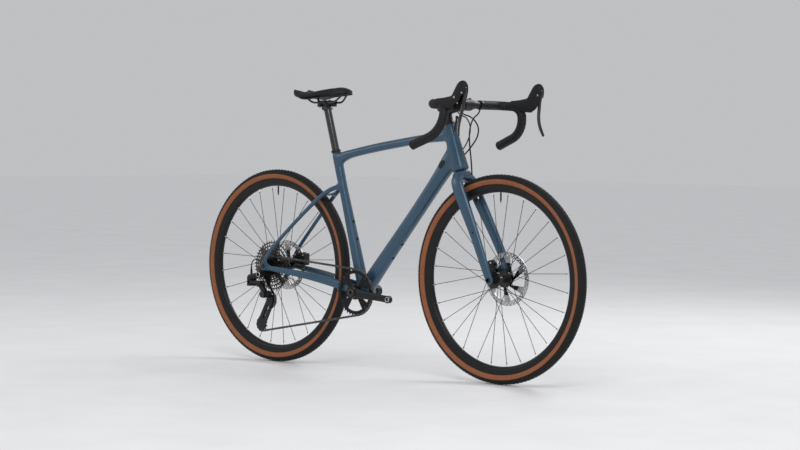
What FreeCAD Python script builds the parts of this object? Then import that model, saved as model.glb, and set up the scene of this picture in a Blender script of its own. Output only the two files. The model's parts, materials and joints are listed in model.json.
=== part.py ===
import FreeCAD, Part
import math
import os

# Gravel bike with a 1x12 drive, thru-axles and disc brakes. Millimetres.
# +X is forward, +Y is the rider's left, +Z is up. The origin is on the ground,
# midway between the two wheel axles.

V = FreeCAD.Vector
AXLE_WAY = V(0, 1, 0)

# Clearances
running_fit = 0.05
body_gap = 0.3
face_gap = 0.1

# Frame geometry
wheelbase = 1031.6
bottom_bracket_x = -90.0
bottom_bracket_z = 278.0
seat_angle = 74.0
seat_tube_length = 508.0
seat_tube_top_radius = 16.2
seat_tube_foot_radius = 20.0
head_angle = 71.0
head_tube_length = 165.8
head_tube_top_radius = 23.5
head_tube_foot_radius = 28.0
head_tube_waist_radius = 24.0
headset_width = 8.0
down_tube_height = 50.0
down_tube_width = 46.0
top_tube_height = 30.0
top_tube_width = 36.0
tube_wall = 2.0
chainstay_width = 17.0
seatstay_size = 15.0
dropout_thickness = 8.0
dropout_radius = 17.0

boss_thread_radius = 2.5
boss_spacing = 64.0
bottle_boss_share = 0.382
port_share = 0.913
port_lift = 6.0
port_radius = 8.0
port_proud = 1.2
top_tube_bow = 9.0

# Fork
axle_to_crown = 395.0
fork_rake = 47.0
steerer_radius = 14.3
steerer_foot_radius = 19.0
steerer_wall = 2.5
fork_blade_depth = 48.0
fork_blade_tip_depth = 33.0
fork_blade_thickness = 23.0
fork_blade_tip_thickness = 17.0
blade_crown_offset = 40.0

# Wheels
tyre_radius = 351.0
tyre_width = 40.0
tyre_wall = 3.0
tyre_shoulder_radius = 333.0
rim_edge_radius = 316.5
rim_width = 29.0
rim_flange = 2.5
bead_seat_radius = 311.0
rim_nose_radius = 290.0
rim_wall = 2.2
spoke_count = 28
spoke_crossings = 2
spoke_radius = 1.0
spoke_clearance = 0.7
spoke_head_radius = 1.8
spoke_stagger = 1.5
nipple_radius = 2.0
nipple_length = 13.0
flange_radius = 28.5
flange_hole_radius = 25.0
flange_thickness = 3.2
hub_core_radius = 12.0
hub_spline_radius = 17.0
hub_bearing_radius = 14.0
hub_bearing_width = 8.0
axle_radius = 6.0
end_cap_radius = 10.0
front_hub_width = 100.0
front_flanges = (25.0, -34.0)
front_rotor_y = 40.0
rear_hub_width = 142.0
rear_flanges = (33.0, -18.5)
rear_rotor_y = 50.0

# Brakes
rotor_radius = 90.0
rotor_thickness = 1.8
rotor_track = 16.0
pad_gap = 0.4
pad_thickness = 3.8
caliper_slot = 5.5
caliper_rounding = 4.0
rotor_rim_gap = 3.0

# Drive
chain_pitch = 12.7
roller_radius = 3.85
valley_radius = 3.97
tooth_thickness = 1.6
tooth_height = 3.0
chain_inner_half = 1.09
chain_plate = 0.72
chain_plate_gap = 0.03
chain_plate_radius = 4.1
chain_pin_radius = 1.8
chainring_teeth = 40
chainline = 47.75
cog_teeth = (11, 12, 13, 15, 17, 19, 21, 24, 28, 32, 38, 44)
cog_spacing = 3.65
cog_in_use = 19
freehub_radius = 17.2
crank_length = 172.5
crank_tilt = 5.0
crank_boss_radius = 20.0
crank_eye_radius = 13.0
crank_inner_face = 51.0
crank_boss_width = 22.0
crank_stance = 68.0
pedal_thread_radius = 7.14
spindle_radius = 14.45
shell_half_width = 43.0
shell_radius = 24.0
cup_radius = 20.5
cup_width = 11.0
cup_lip = 2.0

# Derailleur
jockey_teeth = 12
jockey_boss_half = 3.6
cage_plate = 2.0
cage_foot_radius = 21.0
cage_length = 100.0
cage_pivot_ahead = 9.8
cage_pivot_drop = 102.0
guide_offset = 22.0
cage_lean = 26.5
link_length = 45.0
link_pin_back = 54.2
link_height = 11.4
link_spacing = 17.0
link_thickness = 5.0
link_pin_radius = 2.5
hanger_back = 7.2
hanger_drop = 30.0
hanger_bolt_radius = 4.5
hanger_radius = 10.0

# Cockpit
stem_length = 90.0
stem_drop_angle = 6.0
stem_clamp_height = 42.0
stem_rise = 49.2
bar_clamp_radius = 15.9
bar_radius = 12.0
tape_radius = 15.6
tape_start = 72.0
bar_half_width = 203.0
bar_reach = 83.5
bar_drop = 94.6
bar_end_drop = 43.0
bar_end_back = 119.0
lever_pivot_ahead = 160.0
lever_pivot_rise = 34.0
lever_pin_radius = 2.5
lever_boss_radius = 8.0
lever_boss_half = 6.0
lever_flare = 6.5
lever_head_height = 21.0

# Seat
collar_height = 7.0
seatpost_radius = 13.6
seatpost_length = 350.0
seatpost_rise = 156.0
saddle_barrel_radius = 12.0
saddle_barrel_half = 17.0
rail_radius = 3.5
rail_spacing = 44.0

# Hoses
hose_radius = 2.5
housing_radius = 2.0

# Places worked out from the sizes above
rear_axle = V(-wheelbase / 2, 0, tyre_radius)
front_axle = V(wheelbase / 2, 0, tyre_radius)
bottom_bracket = V(bottom_bracket_x, 0, bottom_bracket_z)
stem_clamp_level = head_tube_length + stem_rise
seatpost_head_level = seat_tube_length + seatpost_rise
hanger_x = rear_axle.x - hanger_back
hanger_z = rear_axle.z - hanger_drop
link_pin_x = rear_axle.x - link_pin_back


def slope(angle):
    """Unit vector that leans back by the angle from the horizontal."""
    return V(-math.cos(math.radians(angle)), 0, math.sin(math.radians(angle)))


seat_way = slope(seat_angle)
steer_way = slope(head_angle)
steer_out = V(steer_way.z, 0, -steer_way.x)
crown = front_axle + steer_way * axle_to_crown - steer_out * fork_rake
head_top = crown + steer_way * head_tube_length
seat_top = bottom_bracket + seat_way * seat_tube_length


def steer_point(up, out, y):
    """Point in the steering frame: up the axis from the crown, out to the front, and to the left."""
    return crown + steer_way * up + steer_out * out + V(0, y, 0)


def seat_point(up, out, y):
    """Point in the seat tube's frame: up its axis, out to the front, and to the left."""
    return bottom_bracket + seat_way * up + V(seat_way.z, 0, -seat_way.x) * out + V(0, y, 0)


def along(start, end, share, lift=0.0, y=0.0):
    """Point at a share of the line between two points, lifted above it and moved to the left."""
    return start + (end - start) * share + V(0, y, lift)


def rod(start, end, radius):
    """Round bar from start to end."""
    way = end - start
    return Part.makeCylinder(radius, way.Length, start, way)


def pipe(start, end, radius, bore):
    """Round bar with a hole along it."""
    return rod(start, end, radius).cut(rod(start, end, bore))


def bar_y(center, low, high, radius):
    """Round bar along Y through a center, from low to high."""
    return rod(V(center.x, low, center.z), V(center.x, high, center.z), radius)


def box(low, high):
    """Block between two corners."""
    size = high - low
    return Part.makeBox(size.x, size.y, size.z, low)


def mirrored(shape):
    """The shape's twin on the other side of the bicycle."""
    return shape.mirror(V(0, 0, 0), AXLE_WAY)


def outline(start, *steps):
    """Closed wire: each step is a point, or a pair of points that an arc passes and ends at."""
    edges = []
    here = start
    for step in steps:
        if isinstance(step, tuple):
            edges.append(Part.Arc(here, step[0], step[1]).toShape())
            here = step[1]
        else:
            edges.append(Part.LineSegment(here, step).toShape())
            here = step
    if here.distanceToPoint(start) > 1e-6:
        edges.append(Part.LineSegment(here, start).toShape())
    return Part.Wire(edges)


def ring(wire, center):
    """Solid of revolution about the axle direction. The wire has its radius along X."""
    solid = Part.Face(wire).revolve(V(0, 0, 0), AXLE_WAY, 360)
    solid.translate(center)
    return solid


def stepped_ring(center, *steps):
    """Turned part about the axle direction. A step is its two ends, its radius and its bore."""
    solids = []
    for low, high, radius, bore in steps:
        solids.append(bar_y(center, low, high, radius).cut(bar_y(center, low, high, bore)))
    return solids[0].multiFuse(solids[1:]).removeSplitter() if len(solids) > 1 else solids[0]


def oval(center, across, along, half_across, half_along, power):
    """Smooth closed outline between an ellipse and a rounded rectangle."""
    count = 16
    points = []
    for i in range(count):
        angle = 2 * math.pi * i / count
        c = math.cos(angle)
        s = math.sin(angle)
        a = half_across * math.copysign(abs(c) ** (2 / power), c)
        b = half_along * math.copysign(abs(s) ** (2 / power), s)
        points.append(center + across * a + along * b)
    curve = Part.BSplineCurve()
    curve.interpolate(Points=points, PeriodicFlag=True)
    return Part.Wire([curve.toShape()])


def limb(stations, power=2.3, inset=0.0):
    """Loft along a line. A station is a point, its half width along Y and its half height."""
    wires = []
    last = len(stations) - 1
    for i, (point, half_width, half_height) in enumerate(stations):
        way = stations[min(i + 1, last)][0] - stations[max(i - 1, 0)][0]
        way.normalize()
        across = AXLE_WAY - way * way.dot(AXLE_WAY)
        across.normalize()
        along = way.cross(across)
        wires.append(oval(point, across, along, half_width - inset, half_height - inset, power))
    return Part.makeLoft(wires, True, False)


def rounded_path(points, radii=None):
    """Straight runs joined by tangent arcs, which are as large as the runs allow if none is given."""
    edges = []
    used = []
    here = points[0]
    for i in range(1, len(points) - 1):
        back = points[i - 1] - points[i]
        ahead = points[i + 1] - points[i]
        turn = math.pi - back.getAngle(ahead)
        shorter = min(back.Length, ahead.Length)
        radius = radii[i - 1] if radii else 0.45 * shorter / math.tan(turn / 2)
        cut = radius * math.tan(turn / 2)
        back.normalize()
        ahead.normalize()
        middle = back + ahead
        middle.normalize()
        enter = points[i] + back * cut
        leave = points[i] + ahead * cut
        crest = points[i] + middle * (radius / math.cos(turn / 2) - radius)
        edges.append(Part.LineSegment(here, enter).toShape())
        edges.append(Part.Arc(enter, crest, leave).toShape())
        used.append(radius)
        here = leave
    edges.append(Part.LineSegment(here, points[-1]).toShape())
    return Part.Wire(edges), used


def sweep(path, radius):
    """Round bar along a path."""
    start = path.OrderedEdges[0]
    way = start.tangentAt(start.FirstParameter)
    profile = Part.Wire(Part.makeCircle(radius, start.valueAt(start.FirstParameter), way))
    return path.makePipeShell([profile], True, False)


def hose(name, points, radius):
    """Cable or hose along its route. Prints its bend radii and how true its volume is."""
    path, radii = rounded_path(points)
    solid = sweep(path, radius)
    share = solid.Volume / (math.pi * radius * radius * path.Length)
    bends = " ".join(str(round(r)) for r in radii)
    print(name, "length", round(path.Length), "radii", bends, "volume share", round(share, 4))
    return solid


def window(inner, outer, start, end, twist=0.0):
    """Flat opening between two radii and two angles, in degrees, in the XZ plane."""
    def at(radius, angle):
        turn = math.radians(angle)
        return V(radius * math.cos(turn), 0, radius * math.sin(turn))
    middle = (start + end) / 2
    wire = outline(
        at(inner, start),
        (at(inner, middle), at(inner, end)),
        at(outer, end + twist),
        (at(outer, middle + twist), at(outer, start + twist)),
    )
    return Part.Face(wire)


def plate(face, low, high, center):
    """Flat face in the XZ plane, made solid from low to high in Y around a center."""
    solid = face.extrude(V(0, high - low, 0))
    solid.translate(V(center.x, low, center.z))
    return solid


# Wheels

def make_rim(center):
    half = rim_width / 2
    inside = half - rim_flange
    shoulder = (rim_nose_radius + bead_seat_radius) / 2
    well = bead_seat_radius - 2.0
    skin = ring(outline(
        V(rim_edge_radius, half, 0),
        V(rim_edge_radius, inside, 0),
        V(bead_seat_radius, inside, 0),
        V(well, inside / 2, 0),
        V(well, -inside / 2, 0),
        V(bead_seat_radius, -inside, 0),
        V(rim_edge_radius, -inside, 0),
        V(rim_edge_radius, -half, 0),
        V(shoulder, 2 - half, 0),
        (V(rim_nose_radius, 0, 0), V(shoulder, half - 2, 0)),
    ), center)
    core = ring(outline(
        V(well - rim_wall, half - 2 - rim_wall, 0),
        V(well - rim_wall, 2 + rim_wall - half, 0),
        V(shoulder, 2 + rim_wall - half, 0),
        (V(rim_nose_radius + rim_wall, 0, 0), V(shoulder, half - 2 - rim_wall, 0)),
    ), center)
    return skin.cut(core)


def make_valve(center):
    foot = center + V(0, 0, rim_nose_radius - 0.5)
    tip = foot - V(0, 0, 26)
    stem = rod(tip, foot, 2.8)
    cap = rod(tip - V(0, 0, 7), tip, 2.0)
    return stem.fuse(cap)


def make_tyre(center):
    half = tyre_width / 2
    foot = rim_width / 2 - rim_flange
    lip = rim_edge_radius + body_gap
    flank = (lip + tyre_shoulder_radius) / 2
    crest = tyre_shoulder_radius + 0.72 * (tyre_radius - tyre_shoulder_radius)
    crest_half = 0.68 * half
    inner = tyre_radius - tyre_wall - 1
    inner_crest = tyre_shoulder_radius + 0.72 * (inner - tyre_shoulder_radius)
    inner_half = half - tyre_wall
    return ring(outline(
        V(bead_seat_radius, foot, 0),
        V(lip, foot, 0),
        V(lip, foot + 2, 0),
        (V(flank, half - 1.6, 0), V(tyre_shoulder_radius, half, 0)),
        (V(crest, crest_half, 0), V(tyre_radius, 0, 0)),
        (V(crest, -crest_half, 0), V(tyre_shoulder_radius, -half, 0)),
        (V(flank, 1.6 - half, 0), V(lip, -foot - 2, 0)),
        V(lip, -foot, 0),
        V(bead_seat_radius, -foot, 0),
        V(bead_seat_radius, tyre_wall - foot, 0),
        V(lip, tyre_wall - foot, 0),
        (V(flank, tyre_wall + 1.6 - half, 0), V(tyre_shoulder_radius, -inner_half, 0)),
        (V(inner_crest, -0.68 * inner_half, 0), V(inner, 0, 0)),
        (V(inner_crest, 0.68 * inner_half, 0), V(tyre_shoulder_radius, inner_half, 0)),
        (V(flank, half - tyre_wall - 1.6, 0), V(lip, foot - tyre_wall, 0)),
        V(bead_seat_radius, foot - tyre_wall, 0),
    ), center)


def wheel_point(center, radius, angle, y):
    turn = math.radians(angle)
    return center + V(radius * math.cos(turn), y, radius * math.sin(turn))


def make_spokes(center, flanges, rim):
    """Crossed spokes with elbows in the flange holes, and nipples that seat on the rim."""
    step = 360.0 / spoke_count
    cross = 2 * spoke_crossings * step
    per_set = spoke_count // 4
    run_side = flange_thickness / 2 + spoke_radius + spoke_clearance
    head_side = flange_thickness / 2 + face_gap
    spokes = []
    nipples = []
    for side, flange_y in ((0, flanges[0]), (1, flanges[1])):
        for lead in (1, -1):
            first = 90 + step / 2 + step * side + step * (1 - lead)
            hub_angle = first + lead * cross
            run_y = flange_y + lead * run_side
            elbow = wheel_point(center, flange_hole_radius, hub_angle, run_y)
            rim_y = math.copysign(spoke_stagger, flange_y)
            seat = wheel_point(center, rim_nose_radius + rim_wall / 2, first, rim_y)
            way = elbow - seat
            way.normalize()
            foot = seat + way * nipple_length
            far = wheel_point(center, flange_hole_radius, hub_angle, flange_y - lead * head_side)
            head = far - V(0, lead * spoke_radius, 0)
            spoke = rod(elbow, foot, spoke_radius).multiFuse([
                Part.makeSphere(spoke_radius, elbow),
                rod(elbow, far, spoke_radius),
                rod(far, head, spoke_head_radius),
            ])
            nipple = rod(foot, seat, nipple_radius).cut(rim)
            for i in range(per_set):
                turned = spoke.copy()
                turned.rotate(center, V(0, -1, 0), 4 * step * i)
                spokes.append(turned)
                turned = nipple.copy()
                turned.rotate(center, V(0, -1, 0), 4 * step * i)
                nipples.append(turned)
    return Part.makeCompound(spokes + nipples)


def drill_flanges(shell, center, flanges):
    """Spoke holes in both flanges."""
    step = 360.0 / spoke_count
    holes = []
    for side, flange_y in ((0, flanges[0]), (1, flanges[1])):
        for i in range(spoke_count // 2):
            angle = 90 + step / 2 + step * side + 2 * step * i
            point = wheel_point(center, flange_hole_radius, angle, 0)
            reach = flange_thickness
            holes.append(bar_y(point, flange_y - reach, flange_y + reach, spoke_radius + running_fit))
    return shell.cut(Part.makeCompound(holes))


def hub_ends(center, low, high):
    """A cartridge bearing and its end cap. Low is the bearing's inner end, high the hub's end."""
    sign = math.copysign(1, high)
    seat = low + sign * hub_bearing_width
    sleeve = axle_radius + 2
    bearing = stepped_ring(center, (min(low, seat), max(low, seat), hub_bearing_radius, sleeve))
    cap = stepped_ring(
        center,
        (min(low, seat), max(low, seat), sleeve, axle_radius + running_fit),
        (min(seat, high), max(seat, high), end_cap_radius, axle_radius + running_fit),
    )
    return [bearing, cap]


def make_front_hub():
    half = front_hub_width / 2 - face_gap
    end = half - 6
    seat = end - hub_bearing_width
    left, right = front_flanges
    bore = axle_radius + 2
    t = flange_thickness / 2
    shell = stepped_ring(
        front_axle,
        (-end, -seat, hub_bearing_radius + 2, hub_bearing_radius),
        (-seat, right, hub_bearing_radius + 2, bore),
        (right - t, right + t, flange_radius, bore),
        (right, left, hub_core_radius, bore),
        (left - t, left + t, flange_radius, bore),
        (left, seat, hub_spline_radius, bore),
        (seat, end, hub_spline_radius, hub_bearing_radius),
    )
    shell = drill_flanges(shell, front_axle, front_flanges)
    return Part.makeCompound([shell] + hub_ends(front_axle, seat, half) + hub_ends(front_axle, -seat, -half))


def make_rear_hub():
    half = rear_hub_width / 2 - face_gap
    end = rear_rotor_y + 6
    seat = end - hub_bearing_width
    left, right = rear_flanges
    bore = axle_radius + 2
    t = flange_thickness / 2
    drive_end = right - 5
    drive_seat = drive_end + hub_bearing_width
    shell = stepped_ring(
        rear_axle,
        (drive_end, drive_seat, hub_bearing_radius + 2, hub_bearing_radius),
        (right - t, right + t, flange_radius, hub_bearing_radius),
        (drive_seat, drive_seat + 3, hub_bearing_radius + 2, bore),
        (drive_seat, left, hub_core_radius, bore),
        (left - t, left + t, flange_radius, bore),
        (left, seat, hub_spline_radius, bore),
        (seat, end, hub_spline_radius, hub_bearing_radius),
    )
    shell = drill_flanges(shell, rear_axle, rear_flanges)
    bearing = stepped_ring(rear_axle, (drive_end, drive_seat, hub_bearing_radius, axle_radius + running_fit))
    return Part.makeCompound([shell, bearing] + hub_ends(rear_axle, seat, half))


def make_rotor(center, y):
    """Disc with a drilled track, slanted arms, and the lockring that holds it on the hub."""
    disc = Part.Face(Part.Wire(Part.makeCircle(rotor_radius, V(0, 0, 0), AXLE_WAY)))
    cuts = [Part.Face(Part.Wire(Part.makeCircle(hub_spline_radius, V(0, 0, 0), AXLE_WAY)))]
    track = rotor_radius - rotor_track
    arms = 6
    for i in range(arms):
        first = 360.0 / arms * i
        cuts.append(window(hub_spline_radius + 8, track, first + 10, first + 50, 32))
    for i in range(36):
        for row in range(2):
            turn = math.radians(10 * i + 5 * row)
            reach = track + rotor_track * (0.33 + 0.36 * row)
            spot = V(reach * math.cos(turn), 0, reach * math.sin(turn))
            cuts.append(Part.Face(Part.Wire(Part.makeCircle(2.1, spot, AXLE_WAY))))
    face = disc.cut(Part.makeCompound(cuts))
    low = y - rotor_thickness / 2
    disc = plate(face, low, low + rotor_thickness, center)
    lock_low = low + rotor_thickness
    lock = stepped_ring(center, (lock_low, lock_low + 2.5, hub_spline_radius + 4, hub_spline_radius))
    return Part.makeCompound([disc, lock])


# Frame

seat_tube_stations = [
    (seat_point(0, 0, 0), seat_tube_foot_radius, seat_tube_foot_radius),
    (seat_point(0.22 * seat_tube_length, 0, 0), seat_tube_foot_radius, seat_tube_foot_radius),
    (seat_point(0.65 * seat_tube_length, 0, 0), seat_tube_top_radius, seat_tube_top_radius),
    (seat_top, seat_tube_top_radius, seat_tube_top_radius),
]
shell_solid = bar_y(bottom_bracket, -shell_half_width, shell_half_width, shell_radius)
seat_tube_solid = limb(seat_tube_stations, 2.0)
head_tube_solid = limb([
    (crown, head_tube_foot_radius, head_tube_foot_radius),
    (steer_point(0.22 * head_tube_length, 0, 0), head_tube_foot_radius - 2, head_tube_foot_radius - 2),
    (steer_point(0.6 * head_tube_length, 0, 0), head_tube_waist_radius, head_tube_waist_radius),
    (head_top, head_tube_top_radius, head_tube_top_radius),
], 2.0)
down_tube_end = steer_point(0.395 * head_tube_length, -3.6, 0)
down_tube_way = down_tube_end - bottom_bracket
down_tube_length = down_tube_way.Length
down_tube_way.normalize()
down_tube_up = V(-down_tube_way.z, 0, down_tube_way.x)
down_tube_stations = [
    (bottom_bracket, down_tube_width / 2 + 3, down_tube_height / 2 + 3),
    (along(bottom_bracket, down_tube_end, 0.24), down_tube_width / 2 + 1, down_tube_height / 2),
    (along(bottom_bracket, down_tube_end, 0.58, -4), down_tube_width / 2, down_tube_height / 2 - 2),
    (along(bottom_bracket, down_tube_end, 0.83, -3), down_tube_width / 2, down_tube_height / 2),
    (along(bottom_bracket, down_tube_end, 0.92, -1.5), down_tube_width / 2, down_tube_height / 2 + 5),
    (down_tube_end, down_tube_width / 2 - 2, down_tube_height / 2 + 9),
]
port_place = along(bottom_bracket, down_tube_end, port_share) + down_tube_up * port_lift
top_tube_start = seat_point(seat_tube_length - 20, 0, 0)
top_tube_end = steer_point(0.76 * head_tube_length, 0, 0)


def top_tube_station(share, wider, higher, sag=0.0):
    """Station of the gently bowed top tube."""
    point = along(top_tube_start, top_tube_end, share, top_tube_bow * 4 * share * (1 - share) - sag)
    return (point, top_tube_width / 2 + wider, top_tube_height / 2 + higher)


top_tube_stations = [
    top_tube_station(0.0, -3, 12, 9),
    top_tube_station(0.06, -1.5, 4, 3.2),
    top_tube_station(0.143, 0, 0),
    top_tube_station(0.374, 0, 0),
    top_tube_station(0.676, 0, 0),
    top_tube_station(0.837, 0, 1),
    top_tube_station(1.0, 2, 5),
]
boss_step = boss_spacing / down_tube_length
bottle_bosses = [
    (along(bottom_bracket, down_tube_end, bottle_boss_share), down_tube_up),
    (along(bottom_bracket, down_tube_end, bottle_boss_share + boss_step), down_tube_up),
    (along(bottom_bracket, down_tube_end, bottle_boss_share), down_tube_up * -1),
    (along(bottom_bracket, down_tube_end, bottle_boss_share - boss_step), down_tube_up * -1),
]
seat_boss_levels = (0.368 * seat_tube_length, 0.368 * seat_tube_length + boss_spacing)
dropout_inner = rear_hub_width / 2
dropout_middle = dropout_inner + dropout_thickness / 2
tyre_room = tyre_width / 2 + 5
chainstay_y = tyre_room + chainstay_width / 2
chainstay_half = chainstay_width / 2
seatstay_half = seatstay_size / 2
tip_half = dropout_thickness / 2 + 1
chainstay_stations = [
    (along(rear_axle, bottom_bracket, 0.032, -2.6, dropout_middle), tip_half, 10),
    (along(rear_axle, bottom_bracket, 0.178, 2, dropout_middle - 9), chainstay_half - 2, 11.5),
    (along(rear_axle, bottom_bracket, 0.436, 7, chainstay_y + 18), chainstay_half, 13),
    (along(rear_axle, bottom_bracket, 0.648, 7, chainstay_y + 5), chainstay_half, 15),
    (along(rear_axle, bottom_bracket, 0.824, 6, chainstay_y), chainstay_half, 17),
    (along(rear_axle, bottom_bracket, 0.977, 4, chainstay_y - 2), chainstay_half, 18),
]
seatstay_end = seat_point(0.76 * seat_tube_length, 0, 0)
seatstay_stations = [
    (along(rear_axle, seatstay_end, 0.009, 8.4, dropout_middle), tip_half, 9),
    (along(rear_axle, seatstay_end, 0.112, 27.6, dropout_middle - 4), seatstay_half, seatstay_half),
    (along(rear_axle, seatstay_end, 0.441, 33.6, dropout_middle - 20), seatstay_half, seatstay_half),
    (along(rear_axle, seatstay_end, 0.795, 28.2, tyre_room + 8), seatstay_half + 1, seatstay_half + 1),
    (seatstay_end + V(0, 9, 0), seatstay_half + 2, seatstay_half + 2),
]


def make_seat_tube():
    post_room = seatpost_radius + running_fit
    bore = rod(bottom_bracket, seat_point(seat_tube_length + 1, 0, 0), post_room)
    tube = seat_tube_solid.cut(bore).cut(shell_solid)
    for level in seat_boss_levels:
        reach = seat_tube_foot_radius + 5
        tube = tube.cut(rod(seat_point(level, 0, 0), seat_point(level, reach, 0), boss_thread_radius))
    return tube


lower_bearing_radius = head_tube_foot_radius - tube_wall
upper_bearing_radius = head_tube_top_radius - tube_wall


def make_head_tube():
    tube = head_tube_solid.cut(rod(crown, head_top, steerer_foot_radius + 2))
    tube = tube.cut(rod(crown - steer_way, crown + steer_way * headset_width, lower_bearing_radius))
    return tube.cut(rod(head_top - steer_way * headset_width, head_top + steer_way, upper_bearing_radius))


def make_headset_bearings():
    low_end = crown + steer_way * headset_width
    high_end = head_top - steer_way * headset_width
    lower = pipe(crown, low_end, lower_bearing_radius, steerer_foot_radius + running_fit)
    upper = pipe(high_end, head_top, upper_bearing_radius, steerer_radius + running_fit)
    return [lower, upper]


def make_down_tube():
    tube = limb(down_tube_stations, 2.5).cut(limb(down_tube_stations, 2.5, tube_wall))
    tube = tube.cut(shell_solid).cut(seat_tube_solid).cut(head_tube_solid)
    for point, way in bottle_bosses:
        tube = tube.cut(rod(point, point + way * down_tube_height, boss_thread_radius))
    return largest(tube)


def largest(shape):
    """The main solid that a cut leaves."""
    return max(shape.Solids, key=lambda solid: solid.Volume)


def make_top_tube(down_tube):
    tube = limb(top_tube_stations, 2.6).cut(limb(top_tube_stations, 2.6, tube_wall))
    tube = tube.cut(seat_tube_solid).cut(head_tube_solid).cut(down_tube)
    return largest(tube)


def make_shell():
    bore = bar_y(bottom_bracket, -shell_half_width - 1, shell_half_width + 1, cup_radius)
    return shell_solid.cut(bore)


def make_cups():
    cups = []
    for sign in (1, -1):
        ends = sorted((sign * shell_half_width, sign * (shell_half_width - cup_width)))
        lip = sorted((sign * shell_half_width, sign * (shell_half_width + cup_lip)))
        cups.append(stepped_ring(
            bottom_bracket,
            (ends[0], ends[1], cup_radius, spindle_radius + running_fit),
            (lip[0], lip[1], cup_radius + 1.5, spindle_radius + running_fit),
        ))
    return cups


def make_dropouts():
    """Plates round the rear axle, between the stays, with the right one's seat for the hanger."""
    plates = []
    for sign in (1, -1):
        low, high = sorted((sign * dropout_inner, sign * (dropout_inner + dropout_thickness)))
        wire = outline(
            V(-dropout_radius, 0, 2),
            (V(-11, 0, 15), V(2, 0, 24)),
            V(12, 0, 18),
            V(26, 0, 7),
            V(26, 0, -12),
            (V(4, 0, -dropout_radius), V(-dropout_radius, 0, -6)),
        )
        solid = plate(Part.Face(wire), low, high, rear_axle)
        plates.append(solid.cut(bar_y(rear_axle, low - 1, high + 1, axle_radius)))
    return Part.makeCompound(plates)


def make_stays(stations, power, dropouts, others):
    """A left and a right stay, with what they meet cut away."""
    stay = limb(stations, power).cut(limb(stations, power, tube_wall))
    pair = []
    for solid in (stay, mirrored(stay)):
        solid = solid.cut(dropouts)
        for other in others:
            solid = solid.cut(other)
        pair.append(largest(solid))
    return pair


def make_seatstays(dropouts, chainstays):
    stays = make_stays(seatstay_stations, 2.2, dropouts, [seat_tube_solid] + chainstays)
    level = seatstay_stations[3][0]
    bridge = rod(V(level.x, -level.y, level.z), V(level.x, level.y, level.z), 6)
    filled = [limb(seatstay_stations, 2.2), mirrored(limb(seatstay_stations, 2.2))]
    for solid in filled:
        bridge = bridge.cut(solid)
    return Part.makeCompound(stays + [largest(bridge)])


# Fork, in the steering frame

eyelet_shares = ((0.572, 0.66), (0.942, 1.02))
blade_tip_offset = front_hub_width / 2 + fork_blade_tip_thickness / 2


def blade_point(share, rake_share, y):
    """Point of a fork blade: shares of the way down to the axle and of the rake."""
    return steer_point(-share * axle_to_crown, rake_share * fork_rake, y)


fork_blade_stations = [
    (blade_point(0.056, 0, 30), fork_blade_thickness / 2, fork_blade_depth / 2 - 1),
    (blade_point(0.127, 0.06, blade_crown_offset), fork_blade_thickness / 2, fork_blade_depth / 2),
    (blade_point(0.291, 0.26, blade_crown_offset + 4), fork_blade_thickness / 2, fork_blade_depth / 2 - 1),
    (blade_point(0.582, 0.64, blade_tip_offset - 7), fork_blade_thickness / 2 - 2, fork_blade_depth / 2 - 5),
    (blade_point(0.835, 0.89, blade_tip_offset - 1), fork_blade_tip_thickness / 2, fork_blade_tip_depth / 2),
    (blade_point(1.01, 1, blade_tip_offset), fork_blade_tip_thickness / 2 - 1, 14),
]


def make_fork():
    steerer = rod(crown, steer_point(stem_clamp_level + stem_clamp_height / 2, 0, 0), steerer_radius)
    taper = Part.makeCone(steerer_foot_radius, steerer_radius, 60, crown - steer_way * 2, steer_way)
    seat = rod(crown - steer_way * 2, crown + steer_way * 8, steerer_foot_radius)
    crown_cap = limb([
        (steer_point(-2, 0, 0), head_tube_foot_radius, head_tube_foot_radius),
        (steer_point(-18, 0, 0), head_tube_foot_radius + 10, head_tube_foot_radius),
        (steer_point(-36, 1, 0), blade_crown_offset + 9, fork_blade_depth / 2),
    ], 2.2)
    arch_half = tyre_width / 2 + 7
    tyre_arch = bar_y(front_axle, -arch_half, arch_half, tyre_radius + 8)
    blade = limb(fork_blade_stations, 2.4)
    low = front_hub_width / 2
    tips = [bar_y(front_axle, low, low + 15, 15), bar_y(front_axle, -low - 15, -low, 15)]
    fork = steerer.multiFuse([taper, seat, crown_cap, blade, mirrored(blade)] + tips)
    pad = box(V(0, 0, 0), V(40, 14, 26))
    turn = FreeCAD.Rotation(AXLE_WAY, head_angle - 90)
    pad.Placement = FreeCAD.Placement(steer_point(30 - axle_to_crown, 12, front_rotor_y + 6), turn)
    fork = fork.fuse(pad)
    fork = fork.cut(tyre_arch)
    fork = fork.cut(bar_y(front_axle, -low, low, rotor_radius + rotor_rim_gap))
    fork = fork.cut(bar_y(front_axle, -low - 20, low + 20, axle_radius))
    top = steer_point(stem_clamp_level + stem_clamp_height, 0, 0)
    fork = fork.cut(rod(crown - steer_way * 2, top, steerer_radius - steerer_wall))
    for share, rake_share in eyelet_shares:
        for sign in (1, -1):
            inside = blade_point(share, rake_share, sign * (blade_tip_offset - 3))
            fork = fork.cut(rod(inside, inside + V(0, sign * 25, 0), boss_thread_radius))
    return fork


# Cockpit

stem_drop = math.radians(stem_drop_angle)
stem_way = steer_out * math.cos(stem_drop) - steer_way * math.sin(stem_drop)
stem_foot = steer_point(stem_clamp_level, 0, 0)
bar_center = stem_foot + stem_way * stem_length
stem_low = stem_clamp_level - stem_clamp_height / 2
stem_high = stem_clamp_level + stem_clamp_height / 2
stem_barrel_radius = bar_clamp_radius + 5
stem_barrel_half = 21.0
faceplate_gap = 1.5


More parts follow.
